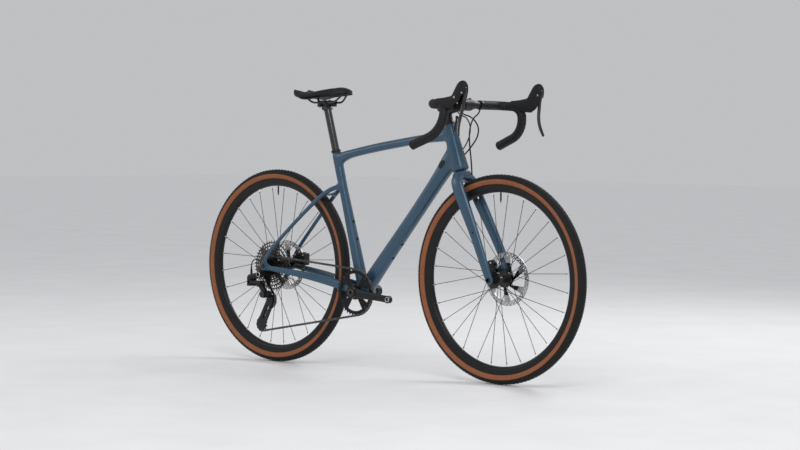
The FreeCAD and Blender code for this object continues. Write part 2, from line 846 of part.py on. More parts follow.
def make_stem():
    clamp = rod(steer_point(stem_low, 0, 0), steer_point(stem_high, 0, 0), steerer_radius + 4.2)
    arm = limb([
        (stem_foot, 15, 18),
        (stem_foot + stem_way * (stem_length / 2), 14, 16),
        (bar_center - stem_way * 8, 18, 17),
    ], 2.6)
    barrel = bar_y(bar_center, -stem_barrel_half, stem_barrel_half, stem_barrel_radius)
    stem = clamp.multiFuse([arm, barrel])
    front = bar_center - stem_way * (faceplate_gap / 2)
    stem = stem.cut(rod(front, front + stem_way * 60, 80))
    stem = stem.cut(bar_y(bar_center, -40, 40, bar_clamp_radius))
    return stem.cut(rod(steer_point(stem_low - 1, 0, 0), steer_point(stem_high + 1, 0, 0), steerer_radius))


def make_faceplate():
    """Front half of the bar clamp."""
    barrel = bar_y(bar_center, -stem_barrel_half, stem_barrel_half, stem_barrel_radius)
    front = bar_center + stem_way * (faceplate_gap / 2)
    cover = barrel.common(rod(front, front + stem_way * 60, 80))
    return cover.cut(bar_y(bar_center, -40, 40, bar_clamp_radius))


def make_spacers():
    """Conical headset cover, three spacers and the cap on top of the stem."""
    cover_height = 12.0
    cover = Part.makeCone(head_tube_top_radius - 1, steerer_radius + 3.5, cover_height,
                          head_top + steer_way * body_gap, steer_way)
    pieces = [cover]
    low = head_tube_length + body_gap + cover_height
    step = (stem_low - low) / 3
    for i in range(3):
        start = steer_point(low + step * i, 0, 0)
        pieces.append(rod(start, start + steer_way * step, steerer_radius + 3.2))
    bored = [piece.cut(rod(head_top, steer_point(stem_high, 0, 0), steerer_radius)) for piece in pieces]
    cap = rod(steer_point(stem_high, 0, 0), steer_point(stem_high + 4, 0, 0), steerer_radius + 2)
    return Part.makeCompound(bored + [cap])


# Corner points of the left half of the handlebar: top, hood bend, drop bend and end.
bar_corners = [
    bar_center + V(0, bar_half_width - 15, 0),
    bar_center + V(bar_reach, bar_half_width, -6),
    bar_center + V(bar_reach - 14, bar_half_width + 16, -bar_drop),
    bar_center + V(bar_reach - bar_end_back, bar_half_width + 28, -bar_drop - bar_end_drop),
]
bar_bends = [40.0, 36.0, 86.0]


def flip(points):
    """The points on the other side of the bicycle."""
    return [V(p.x, -p.y, p.z) for p in points]


def make_handlebar():
    route = list(reversed(flip(bar_corners))) + bar_corners
    path = rounded_path(route, list(reversed(bar_bends)) + bar_bends)[0]
    bulge_half = 36.0
    taper = 30.0
    low = V(bar_center.x, -bulge_half, bar_center.z)
    high = V(bar_center.x, bulge_half, bar_center.z)
    bulge = rod(low, high, bar_clamp_radius)
    left = Part.makeCone(bar_clamp_radius, bar_radius, taper, high, AXLE_WAY)
    right = Part.makeCone(bar_clamp_radius, bar_radius, taper, low, AXLE_WAY * -1)
    bar = sweep(path, bar_radius).multiFuse([bulge, left, right])
    return bar.cut(sweep(path, bar_radius - 2))


def tape_path():
    route = [V(bar_center.x, tape_start, bar_center.z)] + bar_corners
    return rounded_path(route, bar_bends)[0]


def make_tape():
    path = tape_path()
    sleeve = sweep(path, tape_radius).cut(sweep(path, bar_radius))
    end = bar_corners[-1]
    way = bar_corners[-1] - bar_corners[-2]
    way.normalize()
    plug = rod(end, end + way * 2.5, tape_radius - 0.5)
    plug = plug.fuse(Part.makeCone(tape_radius - 0.5, tape_radius - 4, 2.5, end + way * 2.5, way))
    return Part.makeCompound([sleeve, mirrored(sleeve), plug, mirrored(plug)])


# Stations of the left hood from the bar's center: ahead, up, half width and half height.
hood_stations = [
    (41.4, 0, 16.4, 16.6),
    (63.4, 0, 17.5, 18),
    (88.4, 0, 18, 21.5),
    (111.4, 2, 18, 25.5),
    (124.4, 12, 17.5, 36),
    (137.4, 23, 17, 45),
    (151.4, 31, 16, 43),
    (163.4, 41, 13, 30),
    (170.4, 46, 8, 15),
]
lever_pivot_y = bar_half_width
lever_pivot = bar_center + V(lever_pivot_ahead, lever_pivot_y, lever_pivot_rise)


def make_hood():
    """Left lever body with its rubber hood, a slot for the lever, and the lever's pin."""
    wires = []
    for ahead, up, half_width, half_height in hood_stations:
        y = lever_pivot_y - 4 * (lever_pivot_ahead - ahead) / (lever_pivot_ahead - hood_stations[0][0])
        wires.append(oval(bar_center + V(ahead, y, up), AXLE_WAY, V(0, 0, 1), half_width, half_height, 2.3))
    hood = Part.makeLoft(wires, True, False)
    hood = hood.cut(sweep(tape_path(), tape_radius))
    slot_half = lever_boss_half + body_gap
    front = lever_pivot + V(40, slot_half, 0)
    hood = hood.cut(box(lever_pivot + V(-14, -slot_half, -20), front + V(0, 0, lever_head_height + 1)))
    hood = hood.cut(box(lever_pivot + V(-37, -slot_half, -70), front + V(0, lever_flare, -8)))
    pin_half = slot_half + 4
    pin = bar_y(lever_pivot, lever_pivot_y - pin_half, lever_pivot_y + pin_half, lever_pin_radius)
    return largest(hood).fuse(pin)


lever_stations = [
    (lever_pivot + V(2, 0, lever_head_height - 2), 5, 5),
    (lever_pivot + V(3, 0, 4), 5.5, 7),
    (lever_pivot + V(-1, 0, -14), 5.6, 6.5),
    (lever_pivot + V(-4, 0.6, -40), 5.6, 5.5),
    (lever_pivot + V(-11, 8, -84), 6.2, 4.5),
    (lever_pivot + V(-10, 17, -112), 6.5, 4),
    (lever_pivot + V(-3, 25, -138), 5, 3),
]
paddle_pivot = lever_pivot + V(-22, 9, -80)
paddle_pin_radius = 2.0


def make_lever():
    """Left brake lever."""
    boss_low = lever_pivot_y - lever_boss_half
    boss = bar_y(lever_pivot, boss_low, lever_pivot_y + lever_boss_half, lever_boss_radius)
    lever = limb(lever_stations, 2.5).fuse(boss)
    bore_radius = lever_pin_radius + running_fit
    return lever.cut(bar_y(lever_pivot, boss_low - 1, lever_pivot_y + lever_boss_half + 1, bore_radius))


def make_right_lever():
    """Right brake lever, with the pin that carries the shift paddle."""
    foot = V(paddle_pivot.x, -paddle_pivot.y, paddle_pivot.z)
    pin = rod(foot - V(5, 0, 0), foot + V(10, 0, 0), paddle_pin_radius)
    return mirrored(make_lever()).fuse(pin)


def make_paddle():
    """Shift paddle behind the right brake lever. It swings in towards the bicycle."""
    foot = V(paddle_pivot.x, -paddle_pivot.y, paddle_pivot.z)
    boss = rod(foot - V(3.5, 0, 0), foot + V(1.5, 0, 0), 5)
    blade = limb([
        (foot + V(-1, 0, 2), 4, 1.6),
        (foot + V(-1, -5, -22), 6, 1.6),
        (foot + V(-1, -11, -48), 8.5, 1.6),
    ], 2.6)
    paddle = boss.fuse(blade)
    return paddle.cut(rod(foot - V(9, 0, 0), foot + V(9, 0, 0), paddle_pin_radius + running_fit))


# Brakes

front_caliper_low = axle_to_crown - 77
front_caliper_high = axle_to_crown - 33


def make_front_caliper():
    """Block behind the left fork blade, open round the rotor, in the steering frame."""
    block = box(V(-24, 0, 0), V(12, 27, front_caliper_high - front_caliper_low))
    turn = FreeCAD.Rotation(AXLE_WAY, head_angle - 90)
    block.Placement = FreeCAD.Placement(steer_point(-front_caliper_high, 0, front_rotor_y - 12), turn)
    room = bar_y(front_axle, front_rotor_y - caliper_slot, front_rotor_y + caliper_slot,
                 rotor_radius + rotor_rim_gap)
    return block.makeFillet(caliper_rounding, block.Edges).cut(room), block


def make_rear_caliper():
    """Block on top of the left chainstay, open round the rotor."""
    block = box(rear_axle + V(45.8, rear_rotor_y - 15, 3), rear_axle + V(99.8, rear_rotor_y + 15, 47))
    room = bar_y(rear_axle, rear_rotor_y - caliper_slot, rear_rotor_y + caliper_slot,
                 rotor_radius + rotor_rim_gap)
    return block.makeFillet(caliper_rounding, block.Edges).cut(room), block


def make_pad(axle, rotor_y, block, side):
    """Brake pad with its backing plate, inside the caliper's slot."""
    face = rotor_y + side * (rotor_thickness / 2 + pad_gap)
    low, high = sorted((face, face + side * pad_thickness))
    band = bar_y(axle, low, high, rotor_radius - 0.5).cut(bar_y(axle, low, high, rotor_radius - rotor_track))
    return largest(band.common(block))


# Drive

def pitch_radius(teeth):
    return chain_pitch / (2 * math.sin(math.pi / teeth))


def sprocket_face(teeth, phase):
    """Toothed outline in the XZ plane. Phase is the angle of one valley, in radians."""
    radius = pitch_radius(teeth)
    dip = math.radians(60)
    tip_half = 0.5 / radius
    steps = []
    for i in range(teeth):
        angle = phase + 2 * math.pi * i / teeth
        out = V(math.cos(angle), 0, math.sin(angle))
        along = V(-math.sin(angle), 0, math.cos(angle))
        middle = out * radius
        rise = out * (valley_radius * math.cos(dip))
        reach = along * (valley_radius * math.sin(dip))
        steps.append(middle - rise - reach)
        steps.append((middle - out * valley_radius, middle - rise + reach))
        for shift in (-tip_half, tip_half):
            tip = angle + math.pi / teeth + shift
            steps.append(V(math.cos(tip), 0, math.sin(tip)) * (radius + tooth_height))
    return Part.Face(outline(steps[0], *steps[1:]))


cage_pivot = rear_axle + V(cage_pivot_ahead, -chainline, -cage_pivot_drop)
guide_turn = 34.3


def cage_wheels(lean):
    """Centres of the guide and tension wheels when the cage leans back by an angle."""
    guide_angle = math.radians(lean - guide_turn)
    guide = cage_pivot - V(math.sin(guide_angle), 0, math.cos(guide_angle)) * guide_offset
    angle = math.radians(lean)
    return guide, guide - V(math.sin(angle), 0, math.cos(angle)) * cage_length


def chain_path(lean):
    """Runs and arcs of the chain: chainring, tension wheel, guide wheel, cog, and back."""
    guide, tension = cage_wheels(lean)
    turns = [
        (bottom_bracket, -pitch_radius(chainring_teeth)),
        (tension, -pitch_radius(jockey_teeth)),
        (guide, pitch_radius(jockey_teeth)),
        (rear_axle, -pitch_radius(cog_in_use)),
    ]
    runs = []
    for i, (center, radius) in enumerate(turns):
        next_center, next_radius = turns[(i + 1) % len(turns)]
        dx = next_center.x - center.x
        dz = next_center.z - center.z
        way = math.atan2(dz, dx) - math.asin((next_radius - radius) / math.hypot(dx, dz))
        side = (-math.sin(way), math.cos(way))
        leave = (center.x - radius * side[0], center.z - radius * side[1])
        enter = (next_center.x - next_radius * side[0], next_center.z - next_radius * side[1])
        runs.append((leave, enter))
    pieces = []
    for i, (center, radius) in enumerate(turns):
        enter = runs[i - 1][1]
        leave = runs[i][0]
        first = math.atan2(enter[1] - center.z, enter[0] - center.x)
        last = math.atan2(leave[1] - center.z, leave[0] - center.x)
        turn = (last - first) % (2 * math.pi)
        if radius < 0:
            turn -= 2 * math.pi
        pieces.append(("arc", center, abs(radius), first, turn, abs(radius * turn)))
        length = math.hypot(runs[i][1][0] - leave[0], runs[i][1][1] - leave[1])
        pieces.append(("run", leave, runs[i][1], 0, 0, length))
    return pieces


def path_point(pieces, distance):
    """Point of the chain's line at a distance from its start."""
    distance %= sum(piece[5] for piece in pieces)
    for kind, a, b, first, turn, length in pieces:
        if distance <= length:
            share = distance / length
            if kind == "arc":
                angle = first + turn * share
                return (a.x + b * math.cos(angle), a.z + b * math.sin(angle))
            return (a[0] + (b[0] - a[0]) * share, a[1] + (b[1] - a[1]) * share)
        distance -= length


def march(pieces, count):
    """Steps of one pitch along the chain's line. Gives the points and how far the last one is."""
    distance = 0.0
    points = [path_point(pieces, distance)]
    places = [distance]
    for i in range(count):
        guess = distance + chain_pitch
        for j in range(12):
            x, z = path_point(pieces, guess)
            guess += chain_pitch - math.hypot(x - points[-1][0], z - points[-1][1])
        distance = guess
        points.append(path_point(pieces, distance))
        places.append(distance)
    return points, places


def solve_chain():
    """Lean of the cage that takes up a whole, even number of links exactly."""
    def spare(lean, count):
        pieces = chain_path(lean)
        return march(pieces, count)[1][-1] - sum(piece[5] for piece in pieces)
    length = sum(piece[5] for piece in chain_path(cage_lean))
    count = 2 * round(length / chain_pitch / 2)
    low = cage_lean - 14
    high = cage_lean + 14
    for i in range(40):
        middle = (low + high) / 2
        if (spare(low, count) > 0) == (spare(middle, count) > 0):
            low = middle
        else:
            high = middle
    lean = (low + high) / 2
    pieces = chain_path(lean)
    points, places = march(pieces, count)
    phases = []
    start = 0.0
    for kind, center, radius, first, turn, length in pieces:
        if kind == "arc":
            pick = min(i for i, place in enumerate(places) if place >= start)
            x, z = points[pick]
            phases.append(math.atan2(z - center.z, x - center.x))
        start += length
    return lean, points[:-1], phases


chain_lean, rollers, (ring_phase, tension_phase, guide_phase, cog_phase) = solve_chain()
guide_center, tension_center = cage_wheels(chain_lean)


def link_plate(low, high):
    """One side plate of a link, narrow at the waist, along X."""
    half = chain_pitch / 2
    r = chain_plate_radius
    waist = 0.76 * r
    wire = outline(
        V(-half, 0, -r),
        (V(0, 0, -waist), V(half, 0, -r)),
        (V(half + r, 0, 0), V(half, 0, r)),
        (V(0, 0, waist), V(-half, 0, r)),
        (V(-half - r, 0, 0), V(-half, 0, -r)),
    )
    return plate(Part.Face(wire), low, high, V(0, 0, 0))


def make_chain():
    """Inner links with rollers and outer links with pins, each a solid of its own."""
    half = chain_pitch / 2
    ends = (V(-half, 0, 0), V(half, 0, 0))
    inner_out = chain_inner_half + chain_plate
    outer_in = inner_out + chain_plate_gap
    outer_out = outer_in + chain_plate
    inner = link_plate(-inner_out, -chain_inner_half).multiFuse(
        [link_plate(chain_inner_half, inner_out)]
        + [bar_y(end, -chain_inner_half, chain_inner_half, roller_radius) for end in ends])
    for end in ends:
        inner = inner.cut(bar_y(end, -inner_out, inner_out, chain_pin_radius + running_fit))
    outer = link_plate(-outer_out, -outer_in).multiFuse(
        [link_plate(outer_in, outer_out)]
        + [bar_y(end, -outer_out, outer_out, chain_pin_radius) for end in ends])
    links = []
    for i, (x, z) in enumerate(rollers):
        next_x, next_z = rollers[(i + 1) % len(rollers)]
        link = (inner if i % 2 else outer).copy()
        angle = math.degrees(math.atan2(next_z - z, next_x - x))
        middle = V((x + next_x) / 2, -chainline, (z + next_z) / 2)
        link.Placement = FreeCAD.Placement(middle, FreeCAD.Rotation(AXLE_WAY, -angle))
        links.append(link)
    print("chain links", len(links), "cage lean", round(chain_lean, 2))
    return Part.makeCompound(links)


def circle_face(radius):
    return Part.Face(Part.Wire(Part.makeCircle(radius, V(0, 0, 0), AXLE_WAY)))


def make_cassette():
    """Twelve cogs and their spacers on the freehub body, held by a lockring."""
    in_use = cog_teeth.index(cog_in_use)
    half = tooth_thickness / 2
    solids = []
    for i, teeth in enumerate(cog_teeth):
        y = -chainline - (in_use - i) * cog_spacing
        face = sprocket_face(teeth, cog_phase if teeth == cog_in_use else 0.0)
        cuts = [circle_face(freehub_radius)]
        root = pitch_radius(teeth) - valley_radius - 4
        if root > freehub_radius + 14:
            for arm in range(6):
                cuts.append(window(freehub_radius + 5, root, 60 * arm + 8, 60 * arm + 52, 14))
        solids.append(plate(face.cut(Part.makeCompound(cuts)), y - half, y + half, rear_axle))
        if i + 1 < len(cog_teeth):
            spacer = (y + half, y - half + cog_spacing, freehub_radius + 2.2, freehub_radius)
            solids.append(stepped_ring(rear_axle, spacer))
    outer = -chainline - in_use * cog_spacing - half
    inner = -chainline + (len(cog_teeth) - 1 - in_use) * cog_spacing + half
    bore = axle_radius + running_fit
    solids.append(stepped_ring(
        rear_axle,
        (outer, inner + 0.5, freehub_radius, bore),
        (outer - 1.8, outer, freehub_radius - 1, bore),
        (face_gap - rear_hub_width / 2, outer - 1.8, end_cap_radius, bore),
    ))
    lock = (outer - 1.8, outer, freehub_radius + 2, freehub_radius - 1)
    solids.append(stepped_ring(rear_axle, lock))
    return Part.makeCompound(solids)


crank_way = V(math.cos(math.radians(crank_tilt)), 0, -math.sin(math.radians(crank_tilt)))


def crank_solid(sign):
    """Crank arm along its way. Sign is +1 for the left arm, which points back."""
    way = crank_way * -sign
    eye = bottom_bracket + way * crank_length + V(0, sign * crank_stance, 0)
    middle_y = crank_inner_face + crank_boss_width / 2
    arm = limb([
        (bottom_bracket + V(0, sign * middle_y, 0), 9, crank_boss_radius - 3),
        (bottom_bracket + way * (0.35 * crank_length) + V(0, sign * (middle_y + 2), 0), 8.5, 15),
        (bottom_bracket + way * (0.75 * crank_length) + V(0, sign * crank_stance, 0), 6.8, 12),
        (eye, 6.5, crank_eye_radius - 0.5),
    ], 2.8)
    low, high = sorted((sign * crank_inner_face, sign * (crank_inner_face + crank_boss_width)))
    boss = bar_y(bottom_bracket, low, high, crank_boss_radius)
    low, high = sorted((sign * (crank_stance - 6.8), sign * (crank_stance + 6.8)))
    tip = bar_y(eye, low, high, crank_eye_radius)
    return arm.multiFuse([boss, tip]).cut(bar_y(eye, -100, 100, pedal_thread_radius))


def make_crank_right():
    """Right arm and the spindle that is pressed into it."""
    end = crank_inner_face + crank_boss_width - 4
    spindle = bar_y(bottom_bracket, -crank_inner_face - 4, end, spindle_radius)
    return Part.makeCompound([crank_solid(-1).cut(spindle), spindle])


def make_crank_left():
    high = crank_inner_face + crank_boss_width - 4
    return crank_solid(1).cut(bar_y(bottom_bracket, crank_inner_face - 1, high, spindle_radius))


def make_chainring():
    """Toothed ring on four arms, which seats on the spindle against the right crank arm."""
    half = tooth_thickness / 2
    root = pitch_radius(chainring_teeth) - chain_plate_radius - 1
    rim = root - 10
    face = sprocket_face(chainring_teeth, ring_phase)
    teeth = plate(face.cut(circle_face(root - 3)), -chainline - half, -chainline + half, bottom_bracket)
    body = circle_face(root)
    cuts = [circle_face(spindle_radius)]
    arms = 4
    for i in range(arms):
        first = 360.0 / arms * i + 45
        cuts.append(window(26, rim, first + 14, first + 76))
    body = plate(body.cut(Part.makeCompound(cuts)), -chainline - 1.8, -chainline + 1.8, bottom_bracket)
    hub = stepped_ring(bottom_bracket, (-crank_inner_face, -chainline + 1.8, 24, spindle_radius))
    return teeth.multiFuse([body, hub])


# Derailleur

def strap(a, b, radius_a, radius_b, low, high):
    """Flat bar round two points in the XZ plane, from low to high in Y."""
    dx = b.x - a.x
    dz = b.z - a.z
    way = math.atan2(dz, dx)
    lean = math.acos((radius_a - radius_b) / math.hypot(dx, dz))

    def at(point, radius, angle):
        return V(point.x + radius * math.cos(angle), 0, point.z + radius * math.sin(angle))
    wire = outline(
        at(a, radius_a, way + lean),
        (at(a, radius_a, way + math.pi), at(a, radius_a, way - lean)),
        at(b, radius_b, way - lean),
        (at(b, radius_b, way), at(b, radius_b, way + lean)),
    )
    return plate(Part.Face(wire), low, high, V(0, 0, 0))


link_high = hanger_z - 24.3
link_low = link_high - link_height
outer_link_y = -dropout_inner - dropout_thickness - 6
inner_link_y = outer_link_y + link_spacing
hanger_bolt = V(hanger_x, 0, hanger_z)
hanger_root = rear_axle + V(-4, 0, 0)
hanger_outer = -dropout_inner - dropout_thickness + 1
hanger_inner = -dropout_inner - 1
barrel_top = V(link_pin_x - 5, (outer_link_y + inner_link_y) / 2, hanger_z + 16)


def make_hanger(dropouts):
    """Replaceable hanger under the right dropout."""
    tab = strap(hanger_bolt, hanger_root, hanger_radius, hanger_radius + 1, hanger_outer, hanger_inner)
    tab = tab.cut(dropouts).cut(bar_y(rear_axle, hanger_outer, hanger_inner, dropout_radius - 3))
    return tab.cut(bar_y(hanger_bolt, hanger_outer, hanger_inner, hanger_bolt_radius))


def make_knuckle():
    """Fixed end of the derailleur: boss on the hanger bolt, and a fork with the two link pins."""
    boss = bar_y(hanger_bolt, hanger_outer - 16, hanger_outer, hanger_radius + 1)
    bolt = bar_y(hanger_bolt, hanger_outer, hanger_inner, hanger_bolt_radius)
    room = strap(hanger_bolt, hanger_root, hanger_radius + body_gap, hanger_radius + 1, hanger_outer, 0)
    middle = (outer_link_y + inner_link_y) / 2
    arm = limb([
        (V(hanger_x + 2, hanger_outer - 9, hanger_z), 6.5, 9),
        (V(hanger_x - 20, middle - 3, hanger_z - 5), 11, 10),
        (V(link_pin_x + 4, middle, hanger_z - 11), 15, 12),
        (V(link_pin_x - 9, middle, hanger_z - 13), 15, 11),
    ], 2.6)
    back = box(V(link_pin_x - 12, outer_link_y - 7, link_low - 8),
               V(link_pin_x + 7, inner_link_y + 7, hanger_z - 10))
    knuckle = boss.multiFuse([arm.cut(room), bolt, back])
    slot = box(V(link_pin_x - 6.5, outer_link_y - 30, link_low - body_gap),
               V(link_pin_x + 60, inner_link_y + 30, link_high + body_gap))
    knuckle = knuckle.cut(slot)
    for y in (outer_link_y, inner_link_y):
        foot = V(link_pin_x, y, link_low - 6)
        knuckle = knuckle.fuse(rod(foot, foot + V(0, 0, link_height + 12), link_pin_radius))
    return knuckle.fuse(rod(barrel_top - V(0, 0, 22), barrel_top, 2 * housing_radius))


def make_link(y):
    """One of the two parallel links, on upright pins."""
    near = V(link_pin_x, y, 0)
    far = near + V(link_length, 0, 0)
    bar = box(V(near.x, y - link_thickness / 2, link_low), V(far.x, y + link_thickness / 2, link_high))
    height = V(0, 0, link_high - link_low)
    solids = []
    for end in (near, far):
        foot = end + V(0, 0, link_low)
        solids.append(rod(foot, foot + height, 5.5))
    link = bar.multiFuse(solids)
    for end in (near, far):
        foot = end + V(0, 0, link_low - 1)
        link = link.cut(rod(foot, foot + height + V(0, 0, 2), link_pin_radius + running_fit))
    return link


cage_inner = jockey_boss_half + body_gap
cage_outer_face = -chainline - cage_inner - cage_plate
pivot_barrel_inner = cage_outer_face - 3.2
pivot_barrel_outer = outer_link_y + 1
cage_shaft_radius = 6.0


def make_cage_pivot():
    """Moving end of the derailleur: two pins for the links above, and the cage's barrel below."""
    x = link_pin_x + link_length
    table = box(V(x - 8, outer_link_y - 7, link_low - 9), V(x + 8, inner_link_y + 7, link_low - body_gap))
    barrel = bar_y(cage_pivot, pivot_barrel_outer, pivot_barrel_inner, 13)
    middle = (outer_link_y + inner_link_y) / 2
    web = limb([
        (V(x, middle, link_low - 5), 12, 8),
        (V((x + cage_pivot.x) / 2, middle + 2, (link_low + cage_pivot.z) / 2), 11, 9),
        (V(cage_pivot.x, middle + 4, cage_pivot.z), 10, 10),
    ], 2.5)
    body = table.multiFuse([barrel, web])
    bore_radius = cage_shaft_radius + running_fit
    body = body.cut(bar_y(cage_pivot, pivot_barrel_outer + 4, pivot_barrel_inner, bore_radius))
    for y in (outer_link_y, inner_link_y):
        body = body.fuse(rod(V(x, y, link_low - 5), V(x, y, link_high), link_pin_radius))
    return body


def make_cage():
    """Two plates with the wheels' axles, and the shaft that turns in the barrel."""
    outer_low = -chainline - cage_inner - cage_plate
    outer_high = outer_low + cage_plate
    inner_low = -chainline + cage_inner
    inner_high = inner_low + cage_plate
    spine = tension_center - guide_center
    near = guide_center + spine * 0.27
    far = guide_center + spine * 0.73
    outer = strap(guide_center, tension_center, 15, cage_foot_radius, outer_low, outer_high)
    outer = outer.fuse(strap(cage_pivot, guide_center, 12, 14, outer_low, outer_high))
    outer = outer.cut(strap(near, far, 6, 5, outer_low, outer_high))
    inner = strap(guide_center, tension_center, 14, 12, inner_low, inner_high)
    inner = inner.cut(strap(near, far, 6, 5, inner_low, inner_high))
    collar = bar_y(cage_pivot, pivot_barrel_inner + body_gap, outer_low, 10)
    shaft = bar_y(cage_pivot, pivot_barrel_outer + 5, outer_low, cage_shaft_radius)
    bolts = [bar_y(point, outer_low, inner_high, link_pin_radius) for point in (guide_center, tension_center)]
    return outer.multiFuse([inner, collar, shaft] + bolts)


def make_jockey(center, phase):
    half = tooth_thickness / 2
    teeth = plate(sprocket_face(jockey_teeth, phase), -chainline - half, -chainline + half, center)
    boss = bar_y(center, -chainline - jockey_boss_half, -chainline + jockey_boss_half, 7)
    bore = bar_y(center, -chainline - 9, -chainline + 9, link_pin_radius + running_fit)
    return teeth.fuse(boss).cut(bore)


# Seat

post_head = seat_point(seatpost_head_level, 0, 0)
saddle_axis = seat_point(seatpost_head_level + 10, 0, 0)
rail_level = saddle_axis.z + saddle_barrel_radius + 4.5


def make_seatpost():
    foot = seat_point(seatpost_head_level - seatpost_length, 0, 0)
    post = rod(foot, post_head, seatpost_radius)
    barrel = bar_y(saddle_axis, -saddle_barrel_half, saddle_barrel_half, saddle_barrel_radius)
    neck = rod(post_head, saddle_axis, saddle_barrel_radius - 1)
    post = post.multiFuse([neck, barrel])
    return post.cut(rod(foot - seat_way, post_head - seat_way * 12, seatpost_radius - 2.2))


def rail_path(sign):
    half = rail_spacing / 2
    x = saddle_axis.x
    points = [
        V(x + 92, sign * 9, rail_level + 34),
        V(x + 52, sign * half, rail_level),
        V(x - 52, sign * half, rail_level),
        V(x - 92, sign * (half + 8), rail_level + 30),
    ]
    return rounded_path(points, [40.0, 40.0])[0]


def make_rails(cover, shell):
    rails = [sweep(rail_path(sign), rail_radius).cut(shell).cut(cover) for sign in (1, -1)]
    return Part.makeCompound([largest(rail) for rail in rails])


def make_clamp():
    """Cradle that sits on the post's barrel, plates over the rails, and two bolts."""
    x = saddle_axis.x
    half = rail_spacing / 2 + rail_radius + 3
    low = saddle_axis.z + 3
    cradle = box(V(x - 20, -half, low), V(x + 20, half, rail_level))
    upper = box(V(x - 17, -half, rail_level), V(x + 17, half, rail_level + rail_radius + 3))
    room = bar_y(saddle_axis, -half - 1, half + 1, saddle_barrel_radius + running_fit)
    cradle = cradle.cut(room)
    for sign in (1, -1):
        rail = bar_x(x - 40, x + 40, sign * rail_spacing / 2, rail_level, rail_radius)
        cradle = cradle.cut(rail)
        upper = upper.cut(rail)
    return Part.makeCompound([cradle, upper])


def bar_x(low, high, y, z, radius):
    """Round bar along X."""
    return rod(V(low, y, z), V(high, y, z), radius)


# Stations of the saddle from the nose back: ahead of the clamp, half width, how high the top of its
# middle and its lower edge are above the rails, and how far the wings rise above the middle.
saddle_stations = [
    (119, 10, 42, 33, 0),
    (108, 18, 48, 30, 0),
    (81, 21, 53, 27, 0),
    (36, 27, 51, 24, 0),
    (-9, 41, 47.5, 20, 0),
    (-49, 56, 43, 15, 0),
    (-85, 63, 39, 17, 6),
    (-118, 54, 38, 22, 12),
]
saddle_shell_thickness = 3.0


def saddle_section(ahead, half, top, edge, wing):
    """Section of the padding: crowned or dished on top, drawn in at the sides, hollow below."""
    place = V(saddle_axis.x + ahead, 0, rail_level)
    rise = top - edge
    shape = [
        (0.0, top),
        (0.45 * half, top - 0.06 * rise + 0.35 * wing),
        (0.8 * half, top - 0.28 * rise + wing),
        (half, edge + 0.35 * rise + 0.8 * wing),
        (0.92 * half, edge + 0.3 * wing),
        (0.5 * half, edge + 0.3 * rise),
        (0.0, edge + 0.34 * rise),
    ]
    points = [place + V(0, y, z) for y, z in shape]
    points += [place + V(0, -y, z) for y, z in reversed(shape[1:-1])]
    curve = Part.BSplineCurve()
    curve.interpolate(Points=points, PeriodicFlag=True)
    return Part.Wire([curve.toShape()])


def make_saddle_cover():
    return Part.makeLoft([saddle_section(*station) for station in saddle_stations], True, False)


def make_saddle_shell(cover):
    """Base under the padding, with the same outline."""
    wires = []
    for ahead, half, top, edge, wing in saddle_stations[1:-1]:
        drop = saddle_shell_thickness
        wires.append(saddle_section(ahead, half - 2, top - drop, edge - drop, wing))
    return largest(Part.makeLoft(wires, True, False).cut(cover))


def make_collar():
    """Clamp ring round the seatpost, on top of the seat tube."""
    low = seat_point(seat_tube_length, 0, 0)
    high = seat_point(seat_tube_length + collar_height, 0, 0)
    return pipe(low, high, seat_tube_top_radius + 1, seatpost_radius + running_fit)


def make_port_covers():
    """Cover plates on both sides of the down tube. The left one lets the hoses in."""
    reach = down_tube_way * port_radius
    plates = []
    for sign in (1, -1):
        low, high = sorted((sign * (down_tube_width / 2 - 6), sign * (down_tube_width / 2 + port_proud)))
        cover = strap(port_place - reach, port_place + reach, port_radius, port_radius, low, high)
        plates.append(largest(cover.cut(limb(down_tube_stations, 2.5))))
    return Part.makeCompound(plates)


# Routes of the hoses: out of the tape's end, round the head tube, and into the fork or the port.
hose_exit = tape_start + 1
port_y = down_tube_width / 2 + 1
front_hose_points = [
    bar_center + V(13.2, hose_exit, -6.3),
    bar_center + V(13.5, tape_start - 10, -12),
    bar_center + V(10, tape_start - 14, -30),
    steer_point(164, 72, 44),
    steer_point(136, 62, 29),
    steer_point(101, 54, 20),
    steer_point(63, 47, 18),
    steer_point(21, 38, 20),
    steer_point(-21, 25, 22),
]
rear_hose_points = [
    bar_center + V(13.2, -hose_exit, -6.3),
    bar_center + V(18, 9 - tape_start, -13),
    bar_center + V(37, 13 - tape_start, -34),
    steer_point(149, 128, -36),
    steer_point(126, 127, -14),
    steer_point(107, 114, 4),
    steer_point(88, 87, 19),
    steer_point(74, 52, 29),
    steer_point(59, 15, 34),
    port_place + V(31, port_y + 9, 16),
    port_place + V(8, port_y, -4),
]
shift_housing_points = [
    bar_center + V(7.3, -hose_exit, -12.7),
    bar_center + V(12, 9 - tape_start, -20),
    bar_center + V(28, 12 - tape_start, -37),
    steer_point(152, 113, -43),
    steer_point(127, 103, -20),
    steer_point(105, 75, 2),
    steer_point(85, 37, 21),
    steer_point(72, 3, 31),
    port_place + V(18, port_y + 7, 26),
    port_place + V(-2, port_y, 8),
]
derailleur_housing_points = [
    barrel_top + V(44, 1.5, 29),
    barrel_top + V(29, 1.2, 37),
    barrel_top + V(14, 0.8, 37),
    barrel_top + V(3, 0.3, 27),
    barrel_top + V(0, 0, 13),
    barrel_top,
]

os.makedirs("parts", exist_ok=True)


def save(name, shape):
    """Writes one node, and says so if a solid is broken."""
    if not shape.isValid():
        print(name, "is not valid")
    shape.exportStep("parts/" + name + ".step")


